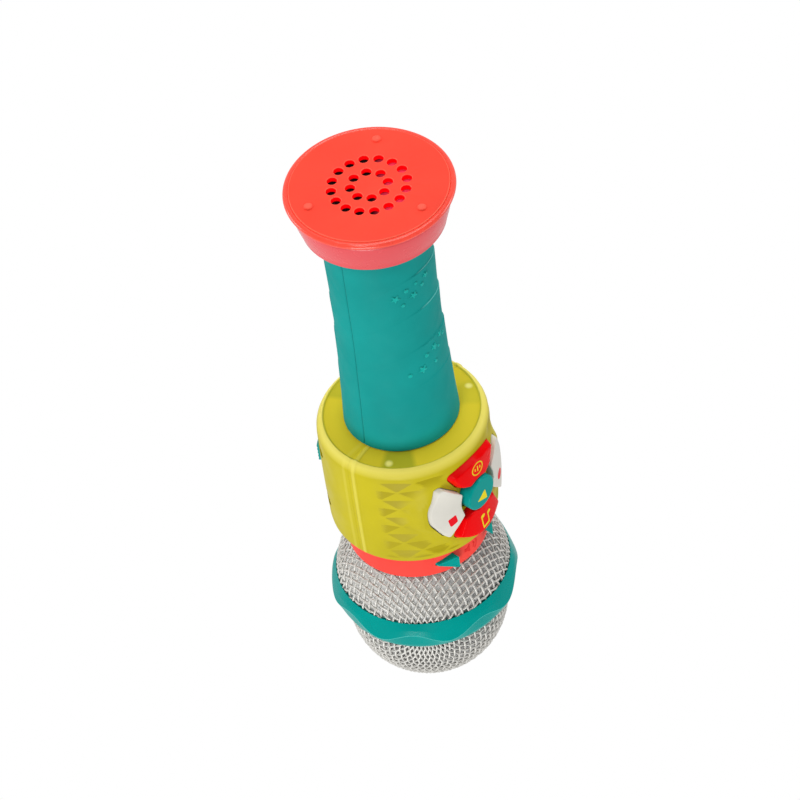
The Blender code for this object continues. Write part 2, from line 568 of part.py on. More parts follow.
def make_head(silver, grey, teal, steel, rubber, wire_grey):
    """The two mesh domes on their liners, the wavy ring that clamps them, and the microphone."""
    thick = MESH_THICKNESS
    outer = dome_arc(NECK_DOME_RADIUS, NECK_DOME_CENTRE, NECK_DOME_START, NECK_DOME_END, 5)
    inner = dome_arc(NECK_DOME_RADIUS - thick, NECK_DOME_CENTRE, NECK_DOME_END, NECK_DOME_START, 5)
    turned("neck_mesh", outer + inner, silver)

    radius = NECK_DOME_RADIUS - thick - LINER_GAP
    outer = dome_arc(radius, NECK_DOME_CENTRE, NECK_DOME_START, NECK_DOME_END, 5)
    inner = dome_arc(radius - LINER_WALL, NECK_DOME_CENTRE, NECK_DOME_END, NECK_DOME_START + 0.2, 5)
    plate = [(6.0, 171.6), (6.0, 170.0), (23.3, 170.0), (23.3, 171.7)]
    liner = turned("neck_liner", plate + outer + inner + [(18.5, 171.6)], grey)
    for i, angle in enumerate(NECK_BOSS_ANGLES):
        x = NECK_BOSS_CIRCLE * math.cos(math.radians(angle))
        y = NECK_BOSS_CIRCLE * math.sin(math.radians(angle))
        combine(liner, rod(f"liner_bore_{i}", (x, y, 168), (x, y, 176), 1.5), "DIFFERENCE")
        combine(liner, rod(f"liner_sink_{i}", (x, y, 171.6), (x, y, 176), 2.7), "DIFFERENCE")

    pole = CROWN_CENTRE + CROWN_RADIUS
    outer = dome_arc(CROWN_RADIUS, CROWN_CENTRE, CROWN_START, pole, 8)
    inner = dome_arc(CROWN_RADIUS - thick, CROWN_CENTRE, pole - thick, CROWN_START, 8)
    outer[-1], inner[0] = (0, pole), (0, pole - thick)
    turned("crown_mesh", inner + outer, silver)

    radius = CROWN_RADIUS - thick - LINER_GAP
    tip = CROWN_CENTRE + radius
    outer = [(27.6, 198.0)] + dome_arc(radius, CROWN_CENTRE, 203.0, tip, 6)
    inner = dome_arc(radius - LINER_WALL, CROWN_CENTRE, tip - LINER_WALL, 203.0, 6) + [(26.0, 198.0)]
    outer[-1], inner[0] = (0, tip), (0, tip - LINER_WALL)
    turned("crown_liner", inner + outer, grey)

    make_head_ring(teal)
    plate = [(5.2, 193.4), (27.6, 193.4), (27.6, 195.2), (5.2, 195.2)]
    bracket = turned("mic_bracket", plate, grey, INNER_STEPS)
    for i in range(4):
        x, y, _ = around(16.0, 45 + 90 * i, 0)
        combine(bracket, rod(f"bracket_hole_{i}", (x, y, 190), (x, y, 200), 5.5), "DIFFERENCE")
    holder = [(4.5, 191.5), (6.4, 191.5), (6.4, 193.1), (4.9, 193.1), (4.9, 195.5)]
    holder += [(6.4, 195.5), (6.4, 197.0), (4.5, 197.0)]
    turned("mic_holder", holder, rubber, 16)
    rod("mic_capsule", (0, 0, 192.0), (0, 0, 198.0), 4.2, steel, 16)
    route = [(3, 6.0, 146), (2.5, 4.5, 152), (2.0, 2.5, 160)]
    route += [(1.5, 1.0, 170), (1.0, 0.3, 181), (0.6, 0, 191.6)]
    tube("mic_wire", route, 0.8, wire_grey)


def make_head_ring(teal):
    """The ring round the head: eight soft waves run round its outer side."""
    crown = [(33.6, 191.6), (34.4, 193.8), (34.7, 196.1), (34.4, 198.6), (33.5, 201.2), (31.8, 202.8)]
    hidden = [(30.4, 203.2), (29.3, 203.2), (29.3, 201.9), (28.0, 201.9), (28.0, 191.2), (32.4, 191.2)]
    outline = [(32.4, 189.8)] + crown + hidden
    bm = bmesh.new()
    rings = []
    for i in range(RING_STEPS):
        turn = 2 * math.pi * i / RING_STEPS
        wave = RING_WAVE * math.cos(RING_WAVES * turn)
        rings.append([])
        for j, (r, z) in enumerate(outline):
            r += wave if 0 < j <= len(crown) else 0
            rings[-1].append(bm.verts.new((r * math.cos(turn) * MM, r * math.sin(turn) * MM, z * MM)))
    for i, ring in enumerate(rings):
        after = rings[(i + 1) % RING_STEPS]
        for j in range(len(outline)):
            k = (j + 1) % len(outline)
            bm.faces.new((ring[j], after[j], after[k], ring[k]))
    add("head_ring", bm, teal)


def tube(name, points, radius, material):
    """A wire along a smooth curve through its points."""
    curve = bpy.data.curves.new(name, "CURVE")
    curve.dimensions = "3D"
    curve.bevel_depth = radius * MM
    curve.bevel_resolution = 1
    curve.use_fill_caps = True
    spline = curve.splines.new("POLY")
    smooth = []
    padded = [points[0], *points, points[-1]]
    for a, b, c, d in zip(padded, padded[1:], padded[2:], padded[3:]):
        a, b, c, d = map(Vector, (a, b, c, d))
        for step in range(3):
            s = step / 3
            curve_term = (2 * a - 5 * b + 4 * c - d) * s**2 + (3 * b - a - 3 * c + d) * s**3
            smooth.append((2 * b + (c - a) * s + curve_term) / 2)
    smooth.append(Vector(points[-1]))
    spline.points.add(len(smooth) - 1)
    for point, place in zip(spline.points, smooth):
        point.co = (*(place * MM), 1.0)
    obj = bpy.data.objects.new(name, curve)
    curve.materials.append(material)
    bpy.context.scene.collection.objects.link(obj)


for old in list(bpy.data.objects):
    bpy.data.objects.remove(old, do_unlink=True)

coral = finish("coral_plastic", (0.97, 0.30, 0.23), 0.42)
teal = finish("teal_plastic", (0.10, 0.60, 0.58), 0.45)
yellow = finish("yellow_translucent", (0.82, 0.78, 0.20), 0.35, transmission=0.5)
red = finish("red_plastic", (0.90, 0.04, 0.05), 0.30)
white = finish("white_plastic", (0.88, 0.87, 0.83), 0.35)
silver = finish("silver_wire", (0.80, 0.79, 0.77), 0.30, 0.9)
grey = finish("grey_plastic", (0.62, 0.62, 0.62), 0.6)
black = finish("black_plastic", (0.05, 0.05, 0.05), 0.6)
steel = finish("steel", (0.70, 0.70, 0.72), 0.35, 1.0)
green = finish("circuit_board", (0.05, 0.35, 0.18), 0.5)
rubber = finish("grey_rubber", (0.35, 0.35, 0.36), 0.8)
paper = finish("cone_paper", (0.12, 0.12, 0.12), 0.9)
cell_finish = finish("battery_wrap", (0.25, 0.25, 0.28), 0.4, 0.3)
led_finish = finish("led_lens", (0.95, 0.95, 0.90), 0.15, transmission=0.6)
wire_red = finish("wire_red", (0.75, 0.08, 0.08), 0.5)
wire_black = finish("wire_black", (0.06, 0.06, 0.06), 0.5)
wire_grey = finish("wire_grey", (0.45, 0.45, 0.45), 0.5)

make_speaker_end(coral, black, steel, paper)
make_handle(teal, steel)
make_battery_box(black, steel, cell_finish)
collar_rear = make_collar(yellow, steel)
make_power_switch(collar_rear, teal, black)
make_buttons(red, white, teal)
make_electronics(green, black, rubber, led_finish, wire_red, wire_black)
make_neck(coral, teal, rubber, green, steel)
make_head(silver, grey, teal, steel, rubber, wire_grey)
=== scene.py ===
"""Looks of the toy microphone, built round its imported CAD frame.

Lengths are in millimetres until a mesh is made. The row's +Z runs from the speaker end to the head,
and a "front angle" is measured about +Z from the front (-Y), positive towards +X.
"""

import itertools
import json
import math

import bmesh
import bpy
from mathutils import Matrix, Vector


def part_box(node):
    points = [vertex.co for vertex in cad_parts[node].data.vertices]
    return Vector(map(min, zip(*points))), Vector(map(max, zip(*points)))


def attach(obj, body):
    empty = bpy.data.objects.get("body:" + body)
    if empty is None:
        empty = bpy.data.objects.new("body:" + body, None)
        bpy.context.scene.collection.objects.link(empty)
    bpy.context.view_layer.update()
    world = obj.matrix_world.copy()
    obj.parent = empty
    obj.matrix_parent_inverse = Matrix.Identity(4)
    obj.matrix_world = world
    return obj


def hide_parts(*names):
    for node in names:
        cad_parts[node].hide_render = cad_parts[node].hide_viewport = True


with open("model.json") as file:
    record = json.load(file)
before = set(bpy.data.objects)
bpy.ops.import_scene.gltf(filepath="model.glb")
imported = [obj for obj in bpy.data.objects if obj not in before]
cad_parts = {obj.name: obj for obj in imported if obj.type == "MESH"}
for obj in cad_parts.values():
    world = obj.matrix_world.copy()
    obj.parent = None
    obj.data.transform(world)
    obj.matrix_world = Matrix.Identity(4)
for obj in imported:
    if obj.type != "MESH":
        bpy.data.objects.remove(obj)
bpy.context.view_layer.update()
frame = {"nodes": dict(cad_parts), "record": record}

MM = 0.001
BODY = "microphone_body"


def span(node):
    """A CAD node's lowest and highest corner, in millimetres."""
    low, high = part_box(node)
    return low / MM, high / MM


# Driving sizes, read from the frame.
_, COVER_HIGH = span("speaker_cover")
_, CAP_HIGH = span("end_cap")
DOOR_LOW, DOOR_HIGH = span("battery_door")
COLLAR_LOW, COLLAR_HIGH = span("collar_front")
PLAY_LOW, PLAY_HIGH = span("play_button")
PAD_LOW, _ = span("keypad")
NECK_LOW, NECK_HIGH = span("neck_ring")
NECK_MESH_LOW, NECK_MESH_HIGH = span("neck_mesh")
CROWN_LOW, CROWN_HIGH = span("crown_mesh")
SWITCH_LOW, SWITCH_HIGH = span("power_switch")

# Sizes worked out from the frame, and the looks' own, in millimetres and degrees.
COVER_RADIUS = COVER_HIGH.x
COVER_TOP = COVER_HIGH.z
COVER_BOTTOM = COVER_TOP - 2.0
HOLE_RADIUS = 1.8
HOLE_FLARE = 0.32
HOLE_RINGS = ((16, 12.9), (8, 6.45))
HOLE_TURN = -2.3
FOOT_CIRCLE = 22.1
FOOT_TURN = 27.5
LIP_RADIUS = CAP_HIGH.x
CAP_TOP = CAP_HIGH.z
HANDLE_RADIUS = 18.6
HANDLE_FLARE = 2.1
FLARE_START = 60.0
HANDLE_START = 16.8
HANDLE_END = 109.9
DOOR_HALF_ANGLE = 37.1
DOOR_GAP = 0.18
DOOR_SCREW_HEIGHT = 87.5
HANDLE_SCREW_HEIGHTS = (26.0, 100.0)
SWITCH_ANGLE = 150.0
COLLAR_BOTTOM = COLLAR_LOW.z
COLLAR_TOP = COLLAR_HIGH.z
COLLAR_RADIUS = 31.0
DISH_HEIGHT = 111.0
PRESS_CLEARANCE = 1.5
CLUSTER_HEIGHT = (PLAY_LOW.z + PLAY_HIGH.z) / 2 + 0.45
BUTTON_FACE_RADIUS = 33.2
PLAY_FACE = -PLAY_LOW.y + 0.45
PLAY_RADIUS = 6.9
KEY_BACK = max(19.7, PRESS_CLEARANCE - PAD_LOW.y)
NECK_TOP = NECK_HIGH.z
VOLUME_HEIGHT = 165.8
WEAVE_TURN = 5
WIRE_RADIUS = 0.42
WIRE_SIDES = 6
CRIMP_STEPS = 4
RING_WAVES = 8
RING_CREST_ANGLE = 13.0
RING_STEPS = 288
NECK_DOME_CENTRE, NECK_DOME_RADIUS = 195.3, 32.0
CROWN_RADIUS = CROWN_HIGH.x - 0.72
CROWN_CENTRE = CROWN_HIGH.z - CROWN_HIGH.x
LINER_GAP, LINER_WALL = 0.9, 1.5
# The direction of the side in shade, and the point, in metres, that the lights are placed round.
SHADED_SIDE = (-0.6264, -0.7731, 0)
TOY_MIDDLE = Vector((0, 0, 0.12))


def around(radius, front_angle, z):
    """A point at a front angle in degrees."""
    turn = math.radians(front_angle)
    return Vector((radius * math.sin(turn), -radius * math.cos(turn), z))


def smooth_step(low, high, value):
    """0 below low, 1 above high, and a smooth rise between them."""
    share = min(1.0, max(0.0, (value - low) / (high - low)))
    return share * share * (3 - 2 * share)


# ---------------------------------------------------------------- materials


def linear(colour):
    """sRGB values from 0 to 255 as linear ones, with alpha."""
    values = [c / 255 for c in colour]
    return (*[c / 12.92 if c <= 0.04045 else ((c + 0.055) / 1.055) ** 2.4 for c in values], 1.0)


def feed(tree, node, inputs):
    """Gives a node's sockets their values, or links them to other nodes' outputs."""
    for socket, value in inputs.items():
        if isinstance(value, bpy.types.NodeSocket):
            tree.links.new(value, node.inputs[socket])
        else:
            node.inputs[socket].default_value = value


def add(tree, kind, inputs, operation=None):
    """A new shader node with its inputs."""
    node = tree.nodes.new("ShaderNode" + kind)
    if operation:
        node.operation = operation
    feed(tree, node, inputs)
    return node


class Recipe:
    """A node material under construction, round its Principled shader."""

    def __init__(self, name):
        self.material = bpy.data.materials.new(name)
        self.material.use_nodes = True
        self.tree = self.material.node_tree
        self.shader = self.tree.nodes["Principled BSDF"]
        self.coordinates = self.add("TexCoord", {}).outputs["Object"]

    def add(self, kind, inputs, operation=None):
        """A new node in this material."""
        return add(self.tree, kind, inputs, operation)

    def complete(self, inputs):
        """Feeds the shader, whose socket names may have _ for a space, and gives the material."""
        feed(self.tree, self.shader, {socket.replace("_", " "): value for socket, value in inputs.items()})
        return self.material

    def surface(self, measure):
        """One of the surface's own measures."""
        return self.add("NewGeometry", {}).outputs[measure]

    def noise(self, size, detail=3.0, stretch=(1, 1, 1)):
        """Noise whose features are about this many millimetres across."""
        mapping = self.add("Mapping", {"Vector": self.coordinates, "Scale": stretch})
        inputs = {"Vector": mapping.outputs["Vector"], "Scale": 1.0 / (size * MM), "Detail": detail}
        return self.add("TexNoise", inputs).outputs["Fac"]

    def ramp(self, value, low, high, from_low=0.0, from_high=1.0):
        """Maps a value to a range of numbers."""
        limits = {"From Min": from_low, "From Max": from_high, "To Min": low, "To Max": high}
        return self.add("MapRange", {"Value": value, **limits}).outputs["Result"]

    def blend(self, share, first, second):
        """Mixes two colours, each an sRGB triple or another node's output."""
        node = self.tree.nodes.new("ShaderNodeMix")
        node.data_type = "RGBA"
        feed(self.tree, node, {"Factor": share})
        for socket, colour in ((6, first), (7, second)):
            plain = isinstance(colour, (tuple, list))
            feed(self.tree, node, {socket: linear(colour) if plain else colour})
        return node.outputs[2]

    def bump(self, heights):
        """Chains (height output, depth in millimetres) pairs into the shader's normal."""
        chain = {}
        for height, depth in heights:
            node = self.add("Bump", {"Distance": depth * MM, "Height": height, **chain})
            chain = {"Normal": node.outputs["Normal"]}
        feed(self.tree, self.shader, chain)

    def mask(self, axis, low, high, at=(0, 0, 0)):
        """0 below and 1 above two distances in millimetres along an axis from a point."""
        offset = self.add("VectorMath", {0: self.coordinates, 1: Vector(at) * MM}, "SUBTRACT")
        along = self.add("VectorMath", {0: offset.outputs["Vector"], 1: axis}, "DOT_PRODUCT")
        return self.ramp(along.outputs["Value"], 0, 1, low * MM, high * MM)

    def spot(self, at, inner, outer):
        """1 within a distance of a point, falling to 0 at another distance."""
        away = self.add("VectorMath", {0: self.coordinates, 1: Vector(at) * MM}, "DISTANCE")
        return self.ramp(away.outputs["Value"], 1, 0, inner * MM, outer * MM)

    def product(self, *values):
        """Multiplies numbers together."""
        result = values[0]
        for value in values[1:]:
            result = self.add("Math", {0: result, 1: value}, "MULTIPLY").outputs[0]
        return result


def moulded(
    name, colour, roughness=0.4, grain=0.02, grain_size=0.35, variation=0.03, edge_highlight=0.5, paint=None, **sockets
):
    """Moulded plastic: faint flow marks, a fine moulded grain, and convex edges painted paler, a painted edge
    highlight.

    paint(recipe, colour output) adds what only one part shows, mostly painted light and shade.
    """
    recipe = Recipe(name)
    dark = [c * (1 - variation) for c in colour]
    pale = [min(255, c * (1 + variation)) for c in colour]
    body = recipe.blend(recipe.ramp(recipe.noise(22.0, 4.0), 0, 1, 0.35, 0.65), dark, pale)
    if paint:
        body = paint(recipe, body)
    # Painted highlight: convex edges are painted paler, as though they caught the light.
    if edge_highlight:
        edge = recipe.ramp(recipe.surface("Pointiness"), 0.0, edge_highlight, 0.53, 0.62)
        body = recipe.blend(edge, body, [c + (255 - c) * 0.22 for c in colour])
    smear = recipe.ramp(recipe.noise(6.0, 5.0), roughness - 0.07, roughness + 0.09, 0.3, 0.7)
    recipe.bump([(recipe.noise(grain_size), grain), (recipe.noise(9.0), 0.03)])
    return recipe.complete({"Base Color": body, "Roughness": smear, "Specular_IOR_Level": 0.1, **sockets})


def metal(name, colour, roughness, metallic=0.9):
    """Drawn or pressed metal with fine streaks."""
    recipe = Recipe(name)
    streaks = recipe.noise(0.5, 4.0, (1, 1, 8))
    body = recipe.blend(recipe.ramp(streaks, 0, 1, 0.3, 0.7), [c * 0.86 for c in colour], colour)
    polish = recipe.ramp(streaks, roughness - 0.06, roughness + 0.12)
    recipe.bump([(streaks, 0.01)])
    return recipe.complete({"Base Color": body, "Roughness": polish, "Metallic": metallic})


# ---------------------------------------------------------------- mesh tools


def made(name, bm):
    """Puts a bmesh in the scene as an object."""
    mesh = bpy.data.meshes.new(name)
    bm.to_mesh(mesh)
    bm.free()
    obj = bpy.data.objects.new(name, mesh)
    bpy.context.scene.collection.objects.link(obj)
    return obj


def raw(name, bm):
    """Puts a bmesh in the scene in metres, without a material."""
    bmesh.ops.scale(bm, vec=(MM, MM, MM), verts=bm.verts)
    bmesh.ops.recalc_face_normals(bm, faces=bm.faces)
    return made(name, bm)


def cut(obj, cutters, operation="DIFFERENCE"):
    """Cuts an object with helper objects, or joins or crosses it with them, and then removes them."""
    for cutter in cutters:
        modifier = obj.modifiers.new(cutter.name, "BOOLEAN")
        modifier.operation = operation
        modifier.object = cutter
    graph = bpy.context.evaluated_depsgraph_get()
    graph.update()
    result = bpy.data.meshes.new_from_object(obj.evaluated_get(graph))
    obj.modifiers.clear()
    obj.data = result
    for cutter in cutters:
        bpy.data.objects.remove(cutter)
    return obj


def dress(obj, material, slot, stands_for=(), body=BODY, crease=32):
    """Shades a piece, gives it its material, and hangs it on its body."""
    obj.data.materials.clear()
    obj.data.materials.append(material)
    for face in obj.data.polygons:
        face.material_index = 0
    obj.data.shade_smooth()
    obj.data.set_sharp_from_angle(angle=math.radians(crease))
    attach(obj, body)
    if stands_for:
        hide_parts(*stands_for)


def rounded(corners, steps=4):
    """A closed outline from (x, y, radius) corners, each rounded by its radius."""
    outline = []
    for i, (x, y, radius) in enumerate(corners):
        here = Vector((x, y))
        if radius == 0:
            outline.append(here)
            continue
        back = Vector(corners[i - 1][:2]) - here
        on = Vector(corners[(i + 1) % len(corners)][:2]) - here
        reach = radius / math.tan(max(0.05, back.angle(on) / 2))
        reach = min(reach, 0.48 * back.length, 0.48 * on.length)
        start, end = here + back.normalized() * reach, here + on.normalized() * reach
        for step in range(steps + 1):
            s = step / steps
            outline.append(start * (1 - s) ** 2 + here * 2 * s * (1 - s) + end * s * s)
    return outline


def arc(centre_r, centre_z, radius, start, end, steps):
    """Points of an arc in an (r, z) profile, its angles in degrees from +r towards +z."""
    angles = [math.radians(start + (end - start) * i / steps) for i in range(steps + 1)]
    return [(centre_r + radius * math.cos(a), centre_z + radius * math.sin(a)) for a in angles]


def outward(outline):
    """Directions out of a closed outline at its points."""
    count = len(outline)
    side = 1 if sum(outline[i - 1].cross(outline[i]) for i in range(count)) > 0 else -1
    along = [outline[(i + 1) % count] - outline[i - 1] for i in range(count)]
    return [Vector((a.y, -a.x)).normalized() * side for a in along]


def bridge(bm, loops, closed=False, caps=False, split=None):
    """Faces between each loop of vertices and the next.

    closed joins the last loop to the first, and caps fills the two end loops. split(i, j) says
    which way to halve the face at a loop and a place along it, or None for a whole face.
    """
    for i in range(len(loops) if closed else len(loops) - 1):
        near, far = loops[i], loops[(i + 1) % len(loops)]
        for j in range(len(near)):
            k = (j + 1) % len(near)
            corners = (near[j], far[j], far[k], near[k])
            way = split(i, j) if split else None
            if way is None:
                bm.faces.new(corners)
                continue
            for half in ((0, 1, 2), (0, 2, 3)) if way else ((0, 1, 3), (1, 2, 3)):
                bm.faces.new([corners[c] for c in half])
    if caps:
        bm.faces.new(loops[0])
        bm.faces.new(loops[-1])


def revolve(name, outline, angles=144, relief=None, split=None):
    """Turns a closed (r, z) outline about Z.

    angles is a number of equal steps, or a list of front angles for a part that isn't a full turn.
    relief(r, z, angle) moves a point outwards along the outline's normal. split(low, high, angle)
    says which way to halve the face between two points of the outline.
    """
    closed = isinstance(angles, int)
    turns = [360.0 * i / angles for i in range(angles)] if closed else angles
    points = [Vector(p[:2]) for p in outline]
    normals = outward(points)
    bm = bmesh.new()
    rings = []
    for turn in turns:
        ring = []
        for point, normal in zip(points, normals):
            height = relief(point.x, point.y, turn) if relief else 0.0
            moved = point + normal * height
            ring.append(bm.verts.new(around(max(0.0, moved.x), turn, moved.y)))
        rings.append(ring)

    def halves(i, j):
        return split(points[j], points[(j + 1) % len(points)], turns[i]) if split else None

    bridge(bm, rings, closed, not closed, halves)
    if min(p.x for p in points) <= 0:
        bmesh.ops.remove_doubles(bm, verts=bm.verts, dist=1e-4)
    return raw(name, bm)


def inset(outline, distance):
    """Moves a dense closed outline inwards."""
    return [point - normal * distance for point, normal in zip(outline, outward(outline))]


def tablet(name, outline, place, top, bottom, bevel, bevel_steps=4, rings=6, foot=None):
    """A plate with a rounded upper edge whose upper face follows a curved surface.

    place(point, height) gives the 3-D place of an outline point at a height, and top and bottom are
    the heights of its two faces. Its outline is seen whole from its middle. foot is an outline and
    a height: the sides slope out to it below the face, and go straight down from there.
    """
    if foot:
        loops = [[place(p, height) for p in foot[0]] for height in (bottom, foot[1])]
    else:
        loops = [[place(p, bottom) for p in outline]]
    for step in range(bevel_steps + 1):
        turn = math.radians(90 * step / bevel_steps)
        shrunk = inset(outline, bevel * (1 - math.cos(turn)))
        loops.append([place(p, top - bevel * (1 - math.sin(turn))) for p in shrunk])
    flat = inset(outline, bevel)
    middle = sum(flat, Vector((0, 0))) / len(flat)
    for ring in range(1, rings):
        loops.append([place(p.lerp(middle, ring / rings), top) for p in flat])
    bm = bmesh.new()
    rows = [[bm.verts.new(p) for p in loop] for loop in loops]
    bridge(bm, rows)
    for loop, height in ((rows[-1], top), (rows[0], bottom)):
        tip = bm.verts.new(place(middle, height))
        for before, corner in zip(loop, loop[1:] + loop[:1]):
            bm.faces.new((before, corner, tip))
    return raw(name, bm)


def joined(name, objects):
    """One object from several, each a closed body of its own."""
    bm = bmesh.new()
    for obj in objects:
        bm.from_mesh(obj.data)
        bpy.data.objects.remove(obj)
    return made(name, bm)


def block(name, size, middle):
    """A plain block."""
    bm = bmesh.new()
    bmesh.ops.create_cube(bm, size=1, matrix=Matrix.Translation(middle) @ Matrix.Diagonal((*size, 1)))
    return raw(name, bm)


def across(name, radius, start, end, steps=32):
    """A round bar between two points."""
    start, end = Vector(start), Vector(end)
    turn = (end - start).to_track_quat("Z", "Y").to_matrix().to_4x4()
    size = {"radius1": radius, "radius2": radius, "depth": (end - start).length}
    place = Matrix.Translation((start + end) / 2) @ turn
    bm = bmesh.new()
    bmesh.ops.create_cone(bm, cap_ends=True, segments=steps, matrix=place, **size)
    return raw(name, bm)


def moved_out(obj, radius, turn):
    """Moves a helper object from the axis out to a radius, at an angle from +X in degrees."""
    turn = math.radians(turn)
    obj.location = (radius * math.cos(turn) * MM, radius * math.sin(turn) * MM, 0)
    return obj


def full_turn(count):
    """Equally spaced angles in radians."""
    return [2 * math.pi * i / count for i in range(count)]


def circle(x, y, radius, steps=48):
    """A round outline."""
    return [Vector((x + radius * math.cos(a), y + radius * math.sin(a))) for a in full_turn(steps)]


# ---------------------------------------------------------------- speaker end


def make_cover(coral):
    """The perforated cover: countersunk holes and three domed feet."""
    edge = COVER_RADIUS + 0.05
    disc = [(0, COVER_BOTTOM, 0), (edge, COVER_BOTTOM, 0.3), (edge, COVER_TOP, 0.1), (0, COVER_TOP, 0)]
    cover = revolve("grille", rounded(disc), 160)
    mouth = HOLE_RADIUS + HOLE_FLARE
    bore = [(0, COVER_BOTTOM - 1), (mouth + 0.3, COVER_BOTTOM - 1), (mouth, COVER_BOTTOM)]
    for turn in (0.5, 1.0, 1.57):
        radius = HOLE_RADIUS + HOLE_FLARE * (1 - math.sin(turn))
        bore.append((radius, COVER_BOTTOM + HOLE_FLARE * (1 - math.cos(turn))))
    bore += [(HOLE_RADIUS, COVER_TOP + 1), (0, COVER_TOP + 1)]
    holes = []
    for count, radius in HOLE_RINGS:
        for i in range(count):
            hole = revolve(f"hole_{count}_{i}", bore, 28)
            holes.append(moved_out(hole, radius, HOLE_TURN + 360 * i / count))
    cut(cover, holes)
    dome = [(0, 0), (0.75, 0), (1.1, 0.06), (1.4, 0.25), (1.6, 0.5), (1.72, 0.85), (1.95, 1.05), (0, 1.1)]
    feet = [moved_out(revolve(f"foot_{i}", dome, 32), FOOT_CIRCLE, FOOT_TURN + 120 * i) for i in range(3)]
    cut(cover, feet, "UNION")
    dress(cover, coral, "coral_plastic", ["speaker_cover"])


def make_cap(coral):
    """The flared cap: a round lip with a groove below it, and a taper to the handle."""
    seat = COVER_RADIUS + 0.08
    profile = [(seat, 3.1), (seat, 1.3)] + arc(28.15, 2.15, LIP_RADIUS - 28.15, -112, 52, 14)
    profile += [(28.1, 3.75), (27.95, 3.95)] + arc(27.3, 4.6, 0.5, -25, 8, 3)
    profile += [(27.75, 5.2), (27.25, 7.6), (26.6, 10.4), (25.75, 13.4), (25.0, 15.7)]
    profile += arc(24.45, CAP_TOP - 0.6, 0.6, 20, 90, 5)
    profile += [(17.7, CAP_TOP), (17.7, 14.5), (22.6, 14.5), (24.6, 7.4), (21.3, 7.4), (21.3, 5.7)]
    profile += [(25.0, 5.7), (25.0, 3.1)]
    dress(revolve("cap", profile, 180), coral, "coral_plastic", ["end_cap"], crease=50)


# ---------------------------------------------------------------- handle

# Each band of the grip starts at a ledge: (height at the front, rise to the seams, ledge height).
GRIP_BANDS = ((14.0, 10.0, 0.3), (30.8, 10.0, 0.4), (47.6, 10.0, 0.4), (64.3, 10.0, 0.42), (81.0, 10.0, 0.2))
SEAM_ROUND = 0.55


def handle_radius(z):
    """The handle's plain outer radius: straight, then flaring towards the collar."""
    rise = max(0.0, z - FLARE_START) / (HANDLE_END - FLARE_START)
    return HANDLE_RADIUS + HANDLE_FLARE * rise**1.2


def grip_relief(z, angle):
    """Height of the grip's swagged bands above its plain radius, less the rounding at the seams."""
    height = 0.0
    swing = 1 - abs(math.cos(math.radians(angle)))
    for start, rise, ledge in GRIP_BANDS:
        above = z - (start + rise * swing)
        height += ledge * smooth_step(-0.3, 0.15, above) * max(0.0, 1 - max(0.0, above) / 15.0)
    # The bands end below the collar, and are faint on the +X side.
    height *= 1 - smooth_step(92, 104, z)
    height *= 1 - 0.85 * smooth_step(6, 30, angle) * (1 - smooth_step(110, 150, angle))
    to_seam = math.radians(abs(abs((angle + 180) % 360 - 180) - 90)) * HANDLE_RADIUS
    height -= 0.3 * max(0.0, 1 - to_seam / SEAM_ROUND) ** 2
    return height


def grip_outline():
    """A half shell's outline, with fine rows on its outer side."""
    rows = 340
    step = (HANDLE_END - HANDLE_START) / rows
    outline = [(20.5, 12.0), (20.5, 14.2), (17.4, 14.2), (17.4, HANDLE_START - 0.3)]
    outline += [(handle_radius(z), z) for z in [HANDLE_START + step * i for i in range(rows + 1)]]
    outline += [(19.4, HANDLE_END), (19.4, 112.7), (22.0, 112.7), (22.0, 114.6), (17.2, 114.6), (17.2, 108.0)]
    outline += [(handle_radius(z) - 2.0, z) for z in (103, 90, 76, 62)]
    return outline + [(HANDLE_RADIUS - 2.0, 20.0), (15.2, 18.0), (15.2, 12.0)]


def half_turn(middle, slit, step):
    """Front angles of a half shell, closer together at its two edges."""
    edge = [slit + extra for extra in (0, 0.4, 0.8, 1.3, 1.9, 2.6)]
    inner = math.floor((90 - edge[-1]) / step) * step
    regular = [-inner + step * i for i in range(int(2 * inner / step) + 1)]
    low = [-90 + e for e in edge]
    return [middle + a for a in [*low, *regular, *[-a for a in reversed(low)]]]


def on_grip(turn, z):
    """A place function for what is moulded on the grip, round a front angle and a height."""

    def place(point, height):
        level = z + point.y
        radius = handle_radius(level)
        angle = turn + math.degrees(point.x / radius)
        return around(radius + grip_relief(level, angle) + height, angle, level)

    return place


def star(size):
    """A five-pointed star with slightly blunt points."""
    corners = []
    for i in range(10):
        reach = size if i % 2 == 0 else size * 0.42
        turn = math.radians(90 + 36 * i)
        corners.append((reach * math.cos(turn), reach * math.sin(turn), 0.12 if i % 2 == 0 else 0.05))
    return rounded(corners, 2)


# The front angle, height and size of each star and dot moulded on the grip.
GRIP_STARS = (
    (35.0, 37.9, 1.95), (14.3, 39.1, 1.75), (-4.4, 33.9, 1.4),
    (16.0, 74.7, 1.95), (-2.9, 68.4, 1.7), (-15.3, 65.8, 1.4),
)
GRIP_DOTS = (
    (10.0, 34.4, 0.55), (22.2, 35.8, 0.8), (27.6, 41.8, 0.7), (2.0, 36.9, 0.7), (31.0, 75.3, 0.8),
    (9.3, 69.5, 0.8), (-2.3, 75.2, 0.65), (-10.0, 70.0, 0.5), (-22.0, 67.5, 0.7),
)


